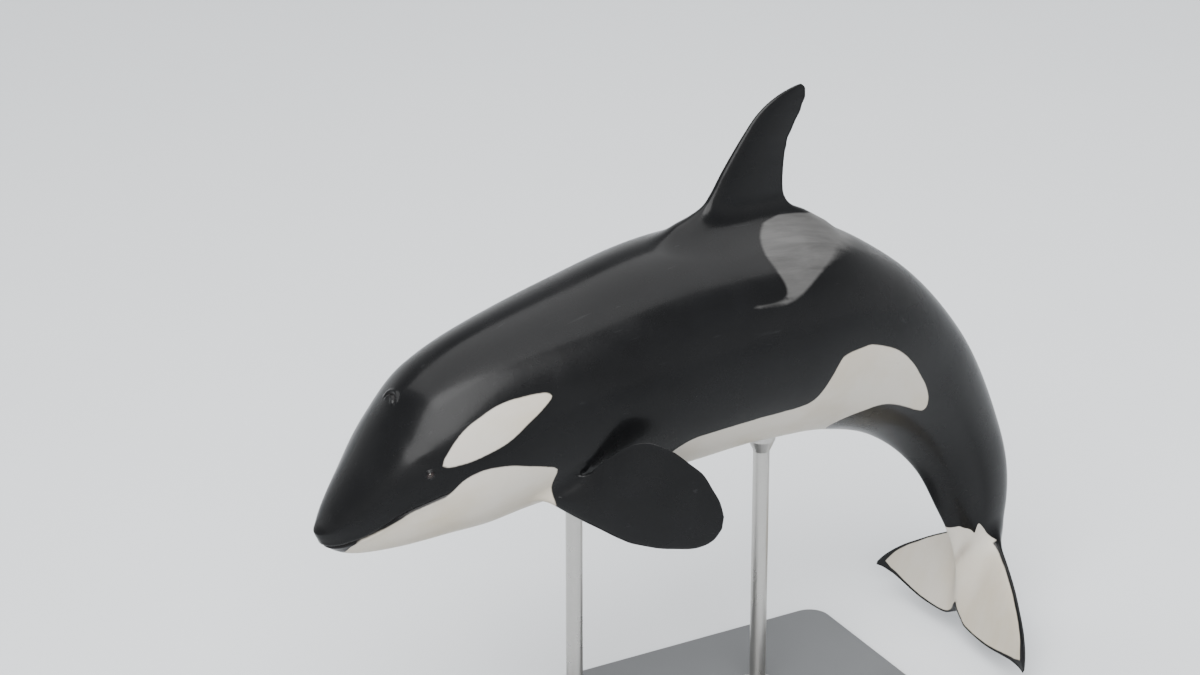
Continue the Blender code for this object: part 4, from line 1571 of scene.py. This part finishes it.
def add_key_light(strength, softness):
    """A distant light that lights the floor evenly, from above and beside the camera."""
    light = bpy.data.lights.new("key_light", "SUN")
    light.energy = strength
    light.angle = softness
    obj = add_to_scene(light.name, light)
    obj.location = KEY_PLACE
    obj.rotation_euler = Vector(KEY_DIRECTION).to_track_quat("-Z", "Y").to_euler()


def studio_world(settings):
    """Pale surroundings, brightest at the horizon as the wall behind the floor."""
    world = bpy.data.worlds.new("pale_studio")
    world.use_nodes = True
    tree = world.node_tree
    generated = tree.nodes.new("ShaderNodeTexCoord").outputs["Generated"]
    parts = add_node(tree, "ShaderNodeSeparateXYZ", {0: generated})
    height = soft_range(tree, parts.outputs["Z"], *WALL_SPAN)
    wall, ceiling = scaled(WALL_TINT, settings.wall), scaled(CEILING_TINT, settings.ceiling)
    fill(tree, tree.nodes["Background"].inputs["Color"], mix_colour(tree, height, wall, ceiling))
    return world


def add_camera():
    """A long lens, from above and beside the left shoulder."""
    turn, tilt = CAMERA_TURN, CAMERA_TILT
    flat = math.cos(tilt)
    back = Vector((math.sin(turn) * flat, -math.cos(turn) * flat, math.sin(tilt)))
    right = Vector((math.cos(turn), math.sin(turn), 0))
    up = back.cross(right)
    data = bpy.data.cameras.new("camera")
    data.sensor_width = CAMERA_SENSOR
    data.lens = CAMERA_LENS
    data.clip_end = CAMERA_CLIP
    camera = add_to_scene("camera", data)
    place = Vector(CAMERA_TARGET) + back * CAMERA_DISTANCE
    place += right * CAMERA_OFFSET[0] + up * CAMERA_OFFSET[1]
    turned = Matrix((right, up, back)).transposed().to_4x4()
    camera.matrix_world = Matrix.Translation(place) @ turned
    bpy.context.scene.camera = camera


# Operators


class ORCA_OT_skin(bpy.types.Operator):
    """Build the skin over the whole animal, with its lips, lids, blowhole, fins and markings"""

    bl_idname = "orca.skin"
    bl_label = "Skin"

    def execute(self, context):
        settings = context.scene.orca_skin
        skin = body_mesh(settings)
        refine_head(skin)
        shape_body(skin, settings)
        fins = [(dorsal_fin(), settings.fin_fillet), (flukes(), settings.fluke_fillet)]
        fins += [(flipper(side), settings.flipper_fillet) for side in SIDES.values()]
        body_tree = surface_tree(skin)
        blends = [(surface_tree(fin), reach) for fin, reach in fins]
        for fin, _ in fins:
            unite(skin, fin)
        for fin_tree, reach in blends:
            blend_corner(skin, (body_tree, fin_tree), reach)
        for name in ("share", "cosine", "sine"):
            stale = skin.data.attributes.get(name)
            if stale:
                skin.data.attributes.remove(stale)
        write_markings(skin)
        skin.data.shade_smooth()
        set_material(skin, hide_material(settings))
        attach(skin, "root")
        flesh = ["head", "torso", "tail_stock", "dorsal_fin"]
        flesh += [part + side for part in ("flipper_", "fluke_") for side in SIDES]
        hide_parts(*flesh)
        return {"FINISHED"}


class ORCA_OT_eyes(bpy.types.Operator):
    """Set a wet eyeball with its cornea, iris and pupil behind each pair of lids"""

    bl_idname = "orca.eyes"
    bl_label = "Eyes"

    def execute(self, context):
        settings = context.scene.orca_eyes
        material = eye_material(settings)
        for name, side in SIDES.items():
            skin_place, out, tailward, up = eye_axes(side)
            axes = Matrix((tailward, up * side, out)).transposed().to_4x4()
            deselect()
            bpy.ops.mesh.primitive_uv_sphere_add(
                segments=settings.segments, ring_count=settings.segments // 2, radius=EYE_RADIUS
            )
            ball = bpy.context.object
            ball.name = "eyeball_" + name
            ball.data.name = ball.name
            points = coordinates(ball)
            x, y, z = points.T
            front = z > 0
            away = np.where(front, np.hypot(x, y), EYE_RADIUS)
            turn = np.arctan2(y, x)
            round_it, across_it = IRIS_RAYS
            rays = np.stack([np.cos(turn) * round_it, np.sin(turn) * round_it, away * across_it], -1)
            pupil = np.hypot(x / PUPIL_SIZE[0], y / PUPIL_SIZE[1])
            points[:, 2] += settings.cornea * bump(away, CORNEA_WIDTH) * front
            write_coordinates(ball, points)
            write_values(ball, "away", away)
            write_vectors(ball, "rays", rays)
            write_values(ball, "pupil", np.where(front, pupil, 9))
            centre = Vector(skin_place) - Vector(out) * EYE_SUNK
            ball.data.transform(Matrix.Translation(centre) @ axes)
            ball.data.shade_smooth()
            set_material(ball, material)
            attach(ball, "root")
            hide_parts("eye_" + name)
        return {"FINISHED"}


class ORCA_OT_stand(bpy.types.Operator):
    """Finish the base in powder coat and the rods in brushed steel"""

    bl_idname = "orca.stand"
    bl_label = "Stand"

    def execute(self, context):
        settings = context.scene.orca_stand
        set_material(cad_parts["stand_base"], paint_material(settings))
        metal = metal_material(settings)
        for name in ("stand_rod_front", "stand_rod_rear"):
            set_material(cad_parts[name], metal)
        return {"FINISHED"}


class ORCA_OT_stage(bpy.types.Operator):
    """Lay the floor, hang the lights and set up the camera"""

    bl_idname = "orca.stage"
    bl_label = "Stage"

    def execute(self, context):
        settings = context.scene.orca_stage
        deselect()
        bpy.ops.mesh.primitive_plane_add(size=settings.floor_size)
        floor = bpy.context.object
        floor.name = "studio_floor"
        set_material(floor, floor_material(settings))
        add_softbox(settings.overhead_power)
        add_key_light(settings.key_strength, settings.key_softness)
        context.scene.world = studio_world(settings)
        add_camera()
        return {"FINISHED"}


class ORCA_PT_panel(bpy.types.Panel):
    """Lists the pieces of the orca and its stage"""

    bl_idname = "ORCA_PT_panel"
    bl_label = "Leaping Orca"
    bl_space_type = "VIEW_3D"
    bl_region_type = "UI"
    bl_category = "Orca"

    def draw(self, context):
        for group in SETTINGS:
            box = self.layout.box()
            settings = getattr(context.scene, group)
            for name in settings.__annotations__:
                box.prop(settings, name)
            box.operator(group.replace("_", "."))


SETTINGS = {
    "orca_skin": SkinSettings,
    "orca_eyes": EyeSettings,
    "orca_stand": StandSettings,
    "orca_stage": StageSettings,
}
OPERATORS = (ORCA_OT_skin, ORCA_OT_eyes, ORCA_OT_stand, ORCA_OT_stage)
CLASSES = (*SETTINGS.values(), *OPERATORS, ORCA_PT_panel)


def register():
    for item in CLASSES:
        bpy.utils.register_class(item)
    for name, item in SETTINGS.items():
        setattr(bpy.types.Scene, name, PointerProperty(type=item))


def unregister():
    for name in SETTINGS:
        delattr(bpy.types.Scene, name)
    for item in reversed(CLASSES):
        bpy.utils.unregister_class(item)


def main():
    register()
    bpy.ops.orca.stage()
    bpy.ops.orca.skin()
    bpy.ops.orca.eyes()
    bpy.ops.orca.stand()


if __name__ == "__main__":
    main()
